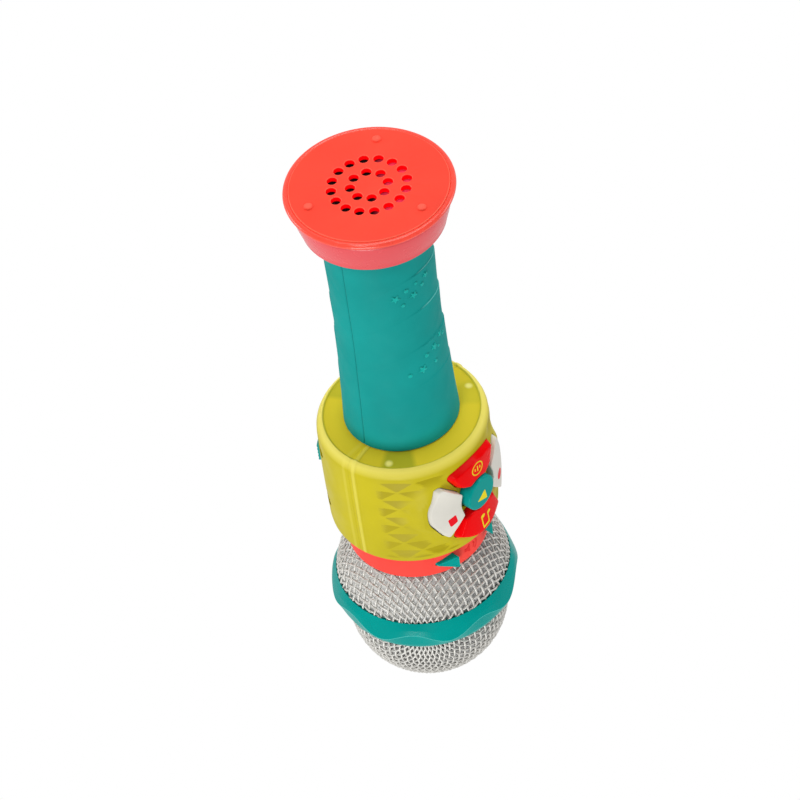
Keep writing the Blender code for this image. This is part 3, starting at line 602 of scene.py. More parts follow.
def make_handle(teal, teal_motif_highlight):
    """The two grip shells with their swagged bands, and the stars and dots."""

    def relief(r, z, angle):
        return grip_relief(z, angle) if 18.5 < r < 21.5 and HANDLE_START < z < HANDLE_END else 0.0

    front = revolve("grip_front", grip_outline(), half_turn(0, 0.25, 1.5), relief)
    dress(front, teal, "teal_plastic", ["handle_front"])
    motifs = []
    for i, (angle, z, size) in enumerate(GRIP_STARS):
        motifs.append(tablet(f"star_{i}", star(size), on_grip(angle, z), 0.4, -0.4, 0.16, 2, 4))
    for i, (angle, z, size) in enumerate(GRIP_DOTS):
        motifs.append(tablet(f"dot_{i}", circle(0, 0, size, 20), on_grip(angle, z), 0.4, -0.4, 0.2, 3, 3))
    # Their paler teal is a painted highlight on the raised tops.
    dress(joined("grip_motifs", motifs), teal_motif_highlight, "teal_plastic", (), crease=50)

    rear = revolve("grip_rear", grip_outline(), half_turn(180, 0.25, 1.5), relief)
    low, high = DOOR_LOW.z - DOOR_GAP, DOOR_HIGH.z + DOOR_GAP
    reach = DOOR_HALF_ANGLE + math.degrees(DOOR_GAP / HANDLE_RADIUS)
    turns = [180 - reach + 2 * reach * i / 24 for i in range(25)]
    cutters = [revolve("opening", [(12, low), (26, low), (26, high), (12, high)], turns)]
    for i, z in enumerate(HANDLE_SCREW_HEIGHTS):
        cutters.append(across(f"sink_{i}", 2.9, (0, 3.7, z), (0, 26, z)))
    cut(rear, cutters)
    dress(rear, teal, "teal_plastic", ["handle_rear"])


def make_door(teal):
    """The battery door, with ribs to push it by."""
    low, high, half = DOOR_LOW.z, DOOR_HIGH.z, DOOR_HALF_ANGLE
    rows = [low + 0.25 * i for i in range(int((high - low) / 0.25) + 1)]
    sheet = [(handle_radius(z), z) for z in rows]
    sheet += [(handle_radius(z) - 2, z) for z in (high, 84, 74, 62, low)]

    def relief(r, z, angle):
        if r < handle_radius(z) - 1:
            return 0.0
        edge = min(z - low, high - z, math.radians(half - abs(angle - 180)) * HANDLE_RADIUS)
        ribs = 0.35 * smooth_step(0.2, 0.9, math.cos(math.radians(360 * (z - 41) / 2.6)))
        ribs *= smooth_step(38.2, 38.9, z) * (1 - smooth_step(48.1, 48.8, z))
        ribs *= 1 - smooth_step(15, 18, abs(angle - 180))
        return grip_relief(z, angle) + ribs - 0.3 * max(0.0, 1 - edge / 0.5) ** 2

    door = revolve("door", sheet, [180 - half + 2 * half * i / 74 for i in range(75)], relief)
    z = DOOR_SCREW_HEIGHT
    sink = across("door_sink", 2.6, (0, 16.6, z), (0, 26, z))
    cut(door, [sink, across("door_bore", 1.5, (0, 12, z), (0, 20, z))])
    dress(door, teal, "teal_plastic", ["battery_door"])


RECESS_SIZES = ((2.6, 0.55, 1.6), (0.55, 2.6, 1.6))


def make_screws(steel):
    """Pan-head screws with a cross recess, in the handle, the door and the collar."""
    pan = [(0, 1.55), (0.9, 1.5), (1.7, 1.2), (2.2, 0.75), (2.4, 0.25), (2.4, 0)]
    pan += [(1.15, 0), (1.15, -9), (0, -10)]
    names = ["handle_screw_1", "handle_screw_2", "door_screw", *[f"collar_screw_{i + 1}" for i in range(4)]]
    for name in names:
        low, high = span(name)
        screw = revolve(name.replace("screw", "pan_screw"), pan, 36)
        slots = [block(f"recess_{i}", size, (0, 0, 1.5)) for i, size in enumerate(RECESS_SIZES)]
        cut(screw, slots)
        seat = Vector(((low.x + high.x) / 2, high.y - 1.5, (low.z + high.z) / 2)) * MM
        screw.data.transform(Matrix.Translation(seat) @ Matrix.Rotation(math.radians(-90), 4, "X"))
        dress(screw, steel, "steel", [name])


# ---------------------------------------------------------------- collar


def red_outline(corner, bulge, side):
    """A red button: a curved outer side, sloping ends and a hollow towards the play button."""
    outer = [(x, side * (corner + bulge * (1 - (x / 10.7) ** 2))) for x in (10.7, 5.35, 0, -5.35, -10.7)]
    hollow = [math.radians(90 + a) for a in (-32, -16, 0, 16, 32)]
    reach = PLAY_RADIUS + 0.7
    inner = [(reach * math.cos(a), side * reach * math.sin(a)) for a in reversed(hollow)]
    return [*outer, (-7.6, side * 8.4), *inner, (7.6, side * 8.4)]


def white_outline(side):
    """A white button: a blunt point outwards and a hollow towards the play button."""
    outer = [(8.1, -5.1), (14.9, -12.0), (16.3, -11.4), (19.4, -4.0), (19.8, 0.2)]
    outer += [(19.5, 4.2), (15.3, 12.2), (14.4, 12.6), (8.1, 5.4)]
    reach = PLAY_RADIUS + 2.2
    hollow = [(reach * math.cos(a), reach * math.sin(a)) for a in map(math.radians, (18, 6, -6, -18))]
    return [(side * x, t) for x, t in outer + hollow]


EFFECTS_OUTLINE = red_outline(14.6, 1.8, -1)
SONG_OUTLINE = red_outline(15.6, 4.6, 1)
WHITE_OUTLINE = white_outline(1)
OUTLINES = {
    "effects_button": EFFECTS_OUTLINE,
    "song_button": SONG_OUTLINE,
    "stop_button": WHITE_OUTLINE,
    "record_button": white_outline(-1),
}
RED_KEYS = ("effects_button", "song_button")
PAD_RISE = 1.5
CUT_FRONT, CUT_BACK = 40, 10
POST_SIDE = 23.5
POST_HEIGHTS = (121, 146)


def key_outline(name):
    """A button's outline with its corners rounded: the curved sides fully, the sharp corners a little."""
    corners = OUTLINES[name]
    smooth = []
    for i, (x, t) in enumerate(corners):
        here = Vector((x, t))
        before = here - Vector(corners[i - 1])
        after = Vector(corners[(i + 1) % len(corners)]) - here
        smooth.append((x, t, 30.0 if before.angle(after) < math.radians(34) else 0.9))
    return dense(rounded(smooth), 0.9)


def key_foot(name):
    """The outline of a key's foot: red keys spread outwards below their face, white ones hardly do."""
    outline = key_outline(name)
    wide = inset(outline, -0.9 if name in RED_KEYS else -0.25)
    return [p.lerp(q, smooth_step(8.5, 12.5, p.length)) for p, q in zip(outline, wide)]


FACET_ANGLE = 23.4
FACET_HEIGHT = 4.43
FACET_FIRST_ANGLE = 44.5
FACET_FIRST_HEIGHT = 116.35
FACET_CUTS = 6
BEAD_ANGLE = 85.8
WALL_INSIDE = 29.4
WALL_LOW, WALL_HIGH = 112, 156.5


def facet_depth(z, angle):
    """How far a flat facet lies inside the round wall whose points its corners touch."""
    row = math.floor((z - FACET_FIRST_HEIGHT) / FACET_HEIGHT + 1e-6)
    rise = (z - FACET_FIRST_HEIGHT) / FACET_HEIGHT - row
    shift = FACET_ANGLE / 2 if row % 2 else 0.0
    along = (angle - FACET_FIRST_ANGLE - shift) / FACET_ANGLE
    share = along - math.floor(along)
    if abs(share - 0.5) <= 0.5 * (1 - rise) + 1e-6:
        away = (share - 0.5) * FACET_ANGLE
        reach = rise
    else:
        away = (share if share < 0.5 else share - 1) * FACET_ANGLE
        reach = 1 - rise
    chord = math.cos(math.radians(FACET_ANGLE / 2))
    return COLLAR_RADIUS * (1 - (chord + (1 - chord) * reach) / math.cos(math.radians(away)))


def facet_share(z, angle, clear):
    """1 where the collar is faceted, falling to 0 by the seam bead, the rims and the buttons."""
    share = 1 - smooth_step(66, 72, abs(angle))
    share *= smooth_step(112.5, 115.8, z) * (1 - smooth_step(153.4, 156.0, z))
    return share * smooth_step(2.6, 5.4, clear)


def from_outline(x, t, outline):
    """Distance from a point to a closed outline, negative inside it."""
    nearest = 1e9
    inside = False
    for (x0, t0), (x1, t1) in zip(outline, outline[1:] + outline[:1]):
        run, rise = x1 - x0, t1 - t0
        share = min(1.0, max(0.0, ((x - x0) * run + (t - t0) * rise) / (run * run + rise * rise)))
        nearest = min(nearest, math.hypot(x - x0 - share * run, t - t0 - share * rise))
        if (t0 > t) != (t1 > t) and x < x0 + (t - t0) / rise * run:
            inside = not inside
    return -nearest if inside else nearest


def collar_wall_radius(z):
    """The wall's plain outer radius."""
    return COLLAR_RADIUS - 0.35 * ((z - 131.0) / 26.0) ** 2


def collar_relief(r, z, angle):
    """Facets on the wall, and the bead beside each side seam."""
    angle = (angle + 180) % 360 - 180
    height = 0.0
    if r > WALL_INSIDE and WALL_LOW < z < WALL_HIGH and abs(angle) < 80:
        x = COLLAR_RADIUS * math.sin(math.radians(abs(angle)))
        t = z - CLUSTER_HEIGHT
        white = from_outline(x, t, WHITE_OUTLINE)
        clear = min(white, from_outline(x, t, EFFECTS_OUTLINE), from_outline(x, t, SONG_OUTLINE))
        height -= max(0.0, facet_depth(z, abs(angle))) * facet_share(z, angle, clear)
        pad = PAD_RISE * (1 - smooth_step(0.6, 4.6, white)) * smooth_step(9.0, 14.5, x)
        height += pad * (1 - 0.8 * smooth_step(6.0, 13.5, abs(t)))
    from_bead = abs(abs(angle) - BEAD_ANGLE)
    if r > 20.5 and z < 157:
        height += 0.3 * (1 - smooth_step(1.0, 2.1, from_bead))
    return height


def facet_split(low, high, angle):
    """Splits each quad of the wall along the facets' own diagonals."""
    z = (low.y + high.y) / 2
    if min(low.x, high.x) < WALL_INSIDE or not WALL_LOW < z < WALL_HIGH:
        return None
    row = math.floor((z - FACET_FIRST_HEIGHT) / FACET_HEIGHT)
    column = math.floor((angle + 0.1 - FACET_FIRST_ANGLE) / (FACET_ANGLE / 2))
    return (row + column) % 2 == 0


def collar_outline():
    """A half collar's outline: dished end, round rim, wall rows that follow the facets, and floor."""
    step = FACET_HEIGHT / FACET_CUTS
    rows = [z for z in [FACET_FIRST_HEIGHT + step * i for i in range(-1, 55)] if z < 156.2]
    scale = (collar_wall_radius(rows[0]) - 25.6) / 5.4
    rim = [(25.6 + (r - 25.6) * scale, z) for r, z in arc(25.6, COLLAR_BOTTOM + 5.4, 5.4, -58, -12, 10)]
    outline = [(19.7, 110.55), (21.0, 110.5), (24.3, 110.65), (27.3, DISH_HEIGHT), (27.75, 110.98)]
    outline += [(28.05, 110.78)] + rim + [(collar_wall_radius(z), z) for z in rows]
    outline += [(30.55, 156.6), (30.5, 157.0), (30.3, 157.35), (29.9, COLLAR_TOP)]
    outline += [(14.0, COLLAR_TOP), (14.0, 155.8), (28.3, 155.8), (28.8, 130.0), (28.5, 115.2)]
    return outline + arc(25.3, 115.2, 3.2, -15, -90, 5) + [(22.4, 112.4), (19.7, 112.4)]


def collar_turns(middle, slit):
    """Front angles of a half collar: the facets' own columns, closer together at the bead."""
    step = FACET_ANGLE / 2 / FACET_CUTS
    first = math.ceil((-81 - FACET_FIRST_ANGLE) / step)
    columns = [a for a in [FACET_FIRST_ANGLE + step * i for i in range(first, first + 200)] if -81 < a < 0]
    edge = [81.6 + 0.65 * i for i in range(13)] + [90 - slit]
    turns = [-a for a in reversed(edge)] + columns + [-a for a in reversed(columns)] + edge
    return [middle + a for a in turns]


def dense(outline, spacing):
    """Adds points along the long sides of an outline."""
    out = []
    for here, after in zip(outline, outline[1:] + outline[:1]):
        parts = max(1, round((after - here).length / spacing))
        out += [here.lerp(after, i / parts) for i in range(parts)]
    return out


def on_cluster(radius):
    """A place function for the button cluster: heights are measured in front of a cylinder's face.

    A key's flat back, clear of the keypad behind it when pressed, is wherever the height is below -10.
    """

    def place(point, height):
        depth = math.sqrt(max(0.0, radius**2 - point.x**2)) if radius else 0.0
        front = KEY_BACK if height < -10 else depth + height
        return Vector((point.x, -front, CLUSTER_HEIGHT + point.y))

    return place


def prism(name, outline, front, back):
    """A plain extrusion along Y of an outline about the cluster's centre."""
    bm = bmesh.new()
    loops = [[bm.verts.new((p.x, -y, CLUSTER_HEIGHT + p.y)) for p in outline] for y in (front, back)]
    bridge(bm, loops, caps=True)
    return raw(name, bm)


def make_collar_front(yellow):
    """The front translucent shell, with a well for each button."""
    front = revolve("collar_shell_front", collar_outline(), collar_turns(0, 0.06), collar_relief, facet_split)
    inner = revolve("inner_space", [(0, 111.5), (30.2, 111.5), (30.2, 156.4), (0, 156.4)], 96)
    wells = [(12.5, -17.8, 2), (22.6, -6, 4), (22.6, 6, 4), (13, 22.4, 2)]
    wells += [(-x, t, radius) for x, t, radius in reversed(wells)]
    well_block = prism("well_block", rounded(wells), 31.5, 18.9)
    cut(well_block, [inner], "INTERSECT")
    cut(front, [well_block, prism("play_web", circle(0, 0, 10.5), 26.0, 16.1)], "UNION")
    holes = [prism(name + "_hole", inset(key_foot(name), -0.35), CUT_FRONT, CUT_BACK) for name in OUTLINES]
    holes.append(prism("play_hole", circle(0, 0, PLAY_RADIUS + 0.5), CUT_FRONT, CUT_BACK))
    holes.append(prism("well_floor", circle(0, 0, 11.2), CUT_FRONT, 29.3))
    cut(front, holes)
    dress(front, yellow, "yellow_translucent", ["collar_front"], crease=9)


def make_collar_rear(yellow):
    """The rear translucent shell, with its screw posts and the power switch's slot."""
    rear = revolve("collar_shell_rear", collar_outline(), collar_turns(180, 0.06), collar_relief)
    posts, cutters = [], []
    for z, x in itertools.product(POST_HEIGHTS, (POST_SIDE, -POST_SIDE)):
        inside = revolve("post_limit", [(0, 112), (29.9, 112), (29.9, 156), (0, 156)], 72)
        posts.append(cut(across("post", 3.9, (x, 0.4, z), (x, 26, z)), [inside], "INTERSECT"))
        cutters.append(across("post_sink", 2.9, (x, 3.7, z), (x, 27.7, z)))
        cutters.append(across("post_bore", 1.5, (x, -1, z), (x, 5, z)))
    cut(rear, posts, "UNION")
    slot = block("switch_slot", (8, 3.6, 9.8), (30, 0, SWITCH_LOW.z + 5.5))
    slot.data.transform(Matrix.Rotation(math.radians(SWITCH_ANGLE - 90), 4, "Z"))
    cut(rear, [*cutters, slot])
    dress(rear, yellow, "yellow_translucent", ["collar_rear"], crease=24)


def make_buttons(red, white, teal):
    """The five cluster buttons, with rounded edges."""
    for name in OUTLINES:
        material, slot = (red, "red_plastic") if name in RED_KEYS else (white, "white_plastic")
        foot = (key_foot(name), -1.9)
        face = on_cluster(BUTTON_FACE_RADIUS)
        key = tablet(name.replace("button", "key"), key_outline(name), face, 0.0, -13.5, 0.3, 3, 6, foot)
        dress(key, material, slot, [name], name, crease=60)
    play = tablet("play_key", circle(0, 0, PLAY_RADIUS, 72), on_cluster(0), PLAY_FACE, 15.0, 0.7, 5)
    dress(play, teal, "teal_plastic", ["play_button"], "play_button", crease=60)


def make_symbols(ink_yellow, ink_red):
    """The plain symbols printed on the cluster buttons."""

    def ink(name, outlines, button, material, slot, radius=BUTTON_FACE_RADIUS, face=0.0):
        place = on_cluster(radius)
        parts = []
        for i, outline in enumerate(outlines):
            parts.append(tablet(f"{name}_{i}", outline, place, face + 0.05, face - 0.3, 0.02, 1, 4))
        dress(joined(name, parts), material, slot, (), button, crease=40)

    square = rounded([(11.8, 2.4, 0.5), (14.8, 3.7, 0.5), (14.1, 7.6, 0.5), (11.3, 6.2, 0.5)])
    ink("stop_symbol", [dense(square, 0.5)], "stop_button", ink_red, "red_plastic")
    ink("record_symbol", [circle(-14.3, 5.2, 2.0)], "record_button", ink_red, "red_plastic")
    triangle = rounded([(-1.7, -0.5, 0.3), (2.8, 2.5, 0.3), (-2.4, 4.3, 0.3)])
    ink("play_symbol", [dense(triangle, 0.5)], "play_button", ink_yellow, "yellow_translucent", 0, PLAY_FACE)
    notes = [
        ellipse(0.35, 12.3, 1.05, 0.8), ellipse(-3.0, 12.8, 0.95, 0.75),
        strip((1.05, 12.3), (0.45, 18.3), 0.5), strip((-2.4, 12.8), (-2.75, 17.7), 0.5),
        strip((0.65, 18.3), (-2.9, 17.6), 0.85),
    ]
    ink("song_symbol", notes, "song_button", ink_yellow, "yellow_translucent")
    bars = [strip((x, -12.5 - h), (x, -12.5 + h), 0.5) for x, h in ((-1.3, 0.6), (0, 1.25), (1.3, 0.6))]
    ring = circle(0, -12.5, 2.75, 20)
    bars += chain(ring, ring[1:] + ring[:1], 0.45)
    ink("effects_symbol", bars, "effects_button", ink_yellow, "yellow_translucent")


def ellipse(x, y, wide, high):
    """A slightly tilted oval outline."""
    tilt = Matrix.Rotation(math.radians(20), 2)
    return [tilt @ Vector((wide * math.cos(a), high * math.sin(a))) + Vector((x, y)) for a in full_turn(24)]


def strip(start, end, width):
    """A straight bar's outline between two points, with round corners."""
    start, end = Vector(start), Vector(end)
    along = (end - start).normalized()
    side = Vector((-along.y, along.x)) * width / 2
    corners = [start - side, end - side, end + side, start + side]
    return dense(rounded([(p.x, p.y, width * 0.3) for p in corners], 2), 0.6)


def chain(starts, ends, width):
    """Straight bars between pairs of points, each a little long so that they meet."""
    return [strip(a - (b - a) * 0.1, b + (b - a) * 0.1, width) for a, b in zip(starts, ends)]


def make_power_knob(teal):
    """The slide switch's knob, with grip ribs, and its stem."""
    low, high = SWITCH_LOW.z, SWITCH_HIGH.z

    def place(point, height):
        ribs = 0.0
        if height > 0.9:
            ribs = 0.22 * math.cos(2 * math.pi * (point.y - (low + high) / 2) / 1.7) - 0.22
        return around(31.5 + height + ribs, SWITCH_ANGLE + math.degrees(point.x / 32.0), point.y)

    corners = [(-2.8, low, 0.7), (2.8, low, 0.7), (2.8, high, 0.7), (-2.8, high, 0.7)]
    knob = tablet("power_knob", dense(rounded(corners), 0.4), place, 1.1, 0.0, 0.3, 3, 14)
    dress(knob, teal, "teal_plastic", ["power_switch"], "power_switch", crease=50)
    stem = revolve("power_stem", [(0, low + 1.6), (1.35, low + 1.6), (1.35, low + 5.4), (0, low + 5.4)], 24)
    stem.data.transform(Matrix.Translation(around(29.8, SWITCH_ANGLE, 0) * MM))
    dress(stem, teal, "teal_plastic", (), "power_switch")


# ---------------------------------------------------------------- neck and head


def make_neck(coral, teal):
    """The neck ring and the two volume wedges in it."""
    floor = NECK_LOW.z + 3.6
    profile = [(11.5, 154.2, 0.2), (15.5, 154.2, 0.2), (15.5, 155.5, 0), (13.7, 155.5, 0), (13.7, floor, 0)]
    profile += [(26.6, floor, 0.5), (25.9, NECK_TOP, 0.7), (23.9, NECK_TOP, 0.3)]
    ring = revolve("neck_shell", rounded([*profile, (24.6, 159.6, 0), (11.5, 159.6, 0)]), 160)
    holes = []
    for name, side in (("volume_down_button", 1), ("volume_up_button", -1)):
        base, tip = around(29.4, side * 18.5, 0), around(27.2, side * 34.0, 0)
        z, half = VOLUME_HEIGHT, 3.1
        corners = [(base.x, z - half, 0.5), (base.x, z + half, 0.5)]
        corners += [(tip.x, z + 0.5, 0.3), (tip.x, z - 0.5, 0.3)]
        outline = dense(rounded(corners), 0.5)
        wedge = tablet(name.replace("button", "wedge"), outline, on_wedge(base, tip), 0.0, -9.0, 0.45)
        dress(wedge, teal, "teal_plastic", [name], name, crease=50)
        hole = [Vector((p.x, p.y - CLUSTER_HEIGHT)) for p in inset(outline, -0.3)]
        holes.append(prism(name + "_hole", hole, CUT_FRONT, 12))
    cut(ring, holes)
    dress(ring, coral, "coral_plastic", ["neck_ring"])


def on_wedge(base, tip):
    """A place function for a volume wedge: its face slopes from its base to its tip, its back is flat."""

    def place(point, height):
        share = (point.x - base.x) / (tip.x - base.x)
        face = -base.y + (-tip.y + base.y) * share
        return Vector((point.x, -face - height if height > -4 else -17.0, point.y))

    return place


def on_ring(point, height):
    """A place function for what is moulded on the neck ring between its wedges."""
    level = VOLUME_HEIGHT + 0.2 + point.y
    radius = 26.6 - 0.7 * (level - NECK_LOW.z) / (NECK_TOP - NECK_LOW.z)
    return around(radius + height, 3.7 + math.degrees(point.x / 26.3), level)


def make_volume_symbol(coral_ink):
    """A loudspeaker with two sound waves, on the neck ring."""
    horn = [(1.9, -0.8, 0.1), (3.0, -0.8, 0.1), (4.4, -2.2, 0.2)]
    horn += [(x, -t, radius) for x, t, radius in reversed(horn)]
    horn = [Vector((4.6 - p.x, p.y)) for p in dense(rounded(horn), 0.5)]
    parts = [tablet("horn", horn, on_ring, 0.22, -0.3, 0.1, 2, 4)]
    angles = [math.radians(-50 + 10 * k) for k in range(11)]
    for i, reach in enumerate((1.5, 2.9)):
        wave = [Vector((-0.6 - reach * math.cos(a), reach * 1.15 * math.sin(a))) for a in angles]
        for k, bar in enumerate(chain(wave, wave[1:], 0.6)):
            parts.append(tablet(f"wave_{i}_{k}", bar, on_ring, 0.22, -0.3, 0.08, 1, 3))
    dress(joined("volume_symbol", parts), coral_ink, "coral_plastic")


def woven_nodes(radius, cell, reach):
    """Crossing points of a woven sheet drawn over a ball, as directions from its middle, pole at +Z.

    Each new crossing mirrors the corner before it in the plane of its two neighbours, so every wire
    between crossings keeps its length.
    """
    nodes = {}
    for i in range(-reach, reach + 1):
        turn = cell * i / radius
        nodes[i, 0] = Vector((math.sin(turn), 0, math.cos(turn)))
        nodes[0, i] = Vector((0, math.sin(turn), math.cos(turn)))
    steps = range(1, reach + 1)
    for sx, sy, i, j in itertools.product((1, -1), (1, -1), steps, steps):
        known = [(sx * (i - 1), sy * (j - 1)), (sx * i, sy * (j - 1)), (sx * (i - 1), sy * j)]
        corner, a, b = map(nodes.get, known)
        if corner is None or a is None or b is None:
            continue
        normal = a.cross(b)
        if normal.length < 1e-4:
            continue
        normal.normalize()
        mirrored = corner - 2 * corner.dot(normal) * normal
        if mirrored.angle(corner) >= 0.25 * cell / radius:
            nodes[sx * i, sy * j] = mirrored
    return nodes


def weave(name, centre, radius, low, high, pole_up, cell, crimp):
    """Two families of crimped wires over a dome, passing over and under each other."""
    reach = int(math.pi / 2 * radius / cell) + 4
    nodes = woven_nodes(radius, cell, reach)
    spin = Matrix.Rotation(math.radians(WEAVE_TURN), 3, "Z")
    flip = 1 if pole_up else -1
    places = {}
    for key, node in nodes.items():
        direction = spin @ node
        places[key] = Vector((direction.x, direction.y, direction.z * flip))
    bm = bmesh.new()
    for family in (0, 1):
        for line in range(-reach, reach + 1):
            run = []
            for step in range(-reach, reach + 1):
                key = (step, line) if family == 0 else (line, step)
                node = places.get(key)
                if node is not None:
                    over = 1 if (step + line + family) % 2 == 0 else -1
                    run.append((node, over))
                elif run and step > 0:
                    break
                elif run:
                    run = []
            sweep_wire(bm, run, centre, radius, low, high, crimp)
    return raw(name, bm)


def sweep_wire(bm, run, centre, radius, low, high, crimp):
    """A wire along a run of crossings, cut off at the two heights."""
    centres = []
    for (a, over), (b, _) in zip(run, run[1:]):
        for step in range(CRIMP_STEPS):
            s = step / CRIMP_STEPS
            direction = a.lerp(b, s).normalized()
            lift = over * math.cos(math.pi * s) * crimp
            centres.append(Vector((0, 0, centre)) + direction * (radius + lift))
    stretch = []
    for point in [*centres, None]:
        if point is not None and low <= point.z <= high:
            stretch.append(point)
            continue
        if len(stretch) > 2:
            tube(bm, stretch, Vector((0, 0, centre)), WIRE_RADIUS)
        stretch = []


def tube(bm, points, middle, radius):
    """A closed tube along points, its sides turned to face away from a middle."""
    loops = []
    for i, point in enumerate(points):
        along = (points[min(i + 1, len(points) - 1)] - points[max(i - 1, 0)]).normalized()
        side = along.cross((point - middle).normalized()).normalized()
        out = side.cross(along)
        angles = [2 * math.pi * (k + 0.5) / WIRE_SIDES for k in range(WIRE_SIDES)]
        sides = [side * math.cos(a) + out * math.sin(a) for a in angles]
        loops.append([bm.verts.new(point + away * radius) for away in sides])
    bridge(bm, loops, caps=True)


def make_domes(wire_metal):
    """The two woven domes."""
    neck = (NECK_DOME_CENTRE, NECK_DOME_RADIUS, NECK_MESH_LOW.z, NECK_MESH_HIGH.z, False, 2.75, 0.3)
    crown = (CROWN_CENTRE, CROWN_RADIUS, CROWN_LOW.z, 241, True, 2.5, 0.26)
    dress(weave("neck_weave", *neck), wire_metal, "silver_wire", ["neck_mesh"], crease=80)
    dress(weave("crown_weave", *crown), wire_metal, "silver_wire", ["crown_mesh"], crease=80)


def make_liners(grey, grey_neck):
    """The grey domes that back the wires, open towards each other."""

    def angle_at(z, centre, radius):
        return math.degrees(math.asin((z - centre) / radius))

    _, high = span("neck_liner")
    centre, radius = NECK_DOME_CENTRE, NECK_DOME_RADIUS - LINER_GAP
    start, end = angle_at(172.0, centre, radius), angle_at(high.z, centre, radius)
    outline = arc(0, centre, radius, start, end, 16) + arc(0, centre, radius - LINER_WALL, end, start + 1, 16)
    dress(revolve("neck_backing", outline, 120), grey_neck, "grey_plastic", ["neck_liner"])
    centre, radius = CROWN_CENTRE, CROWN_RADIUS - LINER_GAP
    start = angle_at(201.9, centre, radius)
    outline = arc(0, centre, radius, start, 90, 26) + arc(0, centre, radius - LINER_WALL, 90, start, 20)
    outline = [(max(0.0, r), z) for r, z in outline]
    dress(revolve("crown_backing", outline, 120), grey, "grey_plastic", ["crown_liner"])


def ring_outline(turn):
    """The head ring's outline at a front angle, and the point of its crease."""
    wave = math.cos(math.radians(RING_WAVES * (turn - RING_CREST_ANGLE)))
    crease_z = 196.5 - 2.1 * wave
    crease = Vector((34.55 - 0.3 * wave, crease_z))
    before = Vector((33.75, 0.55 * crease_z + 0.45 * 189.8))
    after = Vector((33.25, 0.25 * crease_z + 0.75 * 202.4))
    corners = [(32.1, 190.2, 0), (32.3, 189.8, 0.3), (*before, 3.0)]
    corners += [(*(crease + (before - crease).normalized() * 0.25), 0), (*crease, 0)]
    corners += [(*(crease + (after - crease).normalized() * 0.25), 0), (*after, 2.0)]
    corners += [(32.4, 202.5, 0.8), (31.2, 203.1, 0.3), (30.2, 203.2, 0)]
    hidden = [(29.3, 203.2), (29.3, 201.9), (28.0, 201.9), (28.0, 191.2), (31.9, 191.2)]
    points = rounded(corners, 6) + [Vector(p) for p in hidden]
    return points, points.index(crease)


def make_ring(teal):
    """The head ring: a full upper face, a wavy crease, and a face that turns under it."""
    bm = bmesh.new()
    loops = []
    for i in range(RING_STEPS):
        turn = 360 * i / RING_STEPS
        points, at = ring_outline(turn)
        loops.append([bm.verts.new(around(p.x, turn, p.y)) for p in points])
    bridge(bm, loops, closed=True)
    ring = raw("wavy_ring", bm)
    crest = ring.data.attributes.new("crest", "FLOAT", "POINT")
    for i in range(RING_STEPS):
        crest.data[i * len(points) + at].value = 1
    dress(ring, teal, "teal_plastic", ["head_ring"], crease=50)


# ---------------------------------------------------------------- inner pieces


def dress_inner_nodes():
    """Materials for the CAD nodes that stay as they are, inside the case."""
    cloth = moulded("dust_cloth", (14, 12, 14), 0.95, 0.12, 0.25, edge_highlight=0, paint=cloth_paint)
    finishes = {
        "circuit_board": moulded("circuit_board", (24, 92, 58), 0.4, 0.015, 0.2, 0.15),
        "grey_rubber": moulded("grey_rubber", (92, 92, 95), 0.75, 0.03, 0.3),
        "black_plastic": moulded("black_plastic", (18, 18, 20), 0.55, 0.02),
        "cone_paper": moulded("cone_paper", (26, 26, 28), 0.9, 0.08, 0.5),
        "battery_wrap": moulded("battery_wrap", (60, 62, 70), 0.3, 0.005),
        "led_lens": moulded("led_lens", (245, 245, 232), 0.12, 0.003, Transmission_Weight=0.5),
        "grey_plastic": moulded("grey_bracket", (150, 150, 150), 0.55, 0.02),
        "steel": metal("inner_steel", (175, 175, 180), 0.35),
    }
    for colour, tone in (("red", (190, 22, 22)), ("black", (16, 16, 16)), ("grey", (115, 115, 115))):
        finishes["wire_" + colour] = moulded("wire_" + colour, tone, 0.45, 0.004)
    for part in frame["record"]["subparts"]:
        node = frame["nodes"][part["node"]]
        if node.hide_render:
            continue
        material = cloth if part["node"] == "dust_cloth" else finishes[part["material_slot"]]
        node.data.materials.clear()
        node.data.materials.append(material)


# ---------------------------------------------------------------- stage, lights, camera


def make_stage():
    """A pale floor that is seen only from above, because the main view looks up from below it."""
    bm = bmesh.new()
    bmesh.ops.create_grid(bm, x_segments=1, y_segments=1, size=2500)
    floor = raw("floor", bm)
    material = bpy.data.materials.new("floor")
    material.use_nodes = True
    tree = material.node_tree
    paint = tree.nodes["Principled BSDF"]
    feed(tree, paint, {"Base Color": (0.85, 0.85, 0.85, 1), "Roughness": 0.9})
    clear = add(tree, "BsdfTransparent", {}).outputs[0]
    behind = add(tree, "NewGeometry", {}).outputs["Backfacing"]
    mix = add(tree, "MixShader", {0: behind, 1: paint.outputs[0], 2: clear})
    feed(tree, tree.nodes["Material Output"], {"Surface": mix.outputs[0]})
    floor.data.materials.append(material)
    floor.visible_shadow = False
    floor.visible_diffuse = False
    floor.visible_glossy = False
    floor.visible_transmission = False


def lamp(name, place, target, size, power):
    """A soft square light, aimed at a point. Places are in metres."""
    light = bpy.data.lights.new(name, "AREA")
    light.size = size
    light.energy = power
    obj = bpy.data.objects.new(name, light)
    obj.location = place
    obj.rotation_mode = "QUATERNION"
    obj.rotation_quaternion = (target - place).to_track_quat("-Z", "Y")
    bpy.context.scene.collection.objects.link(obj)


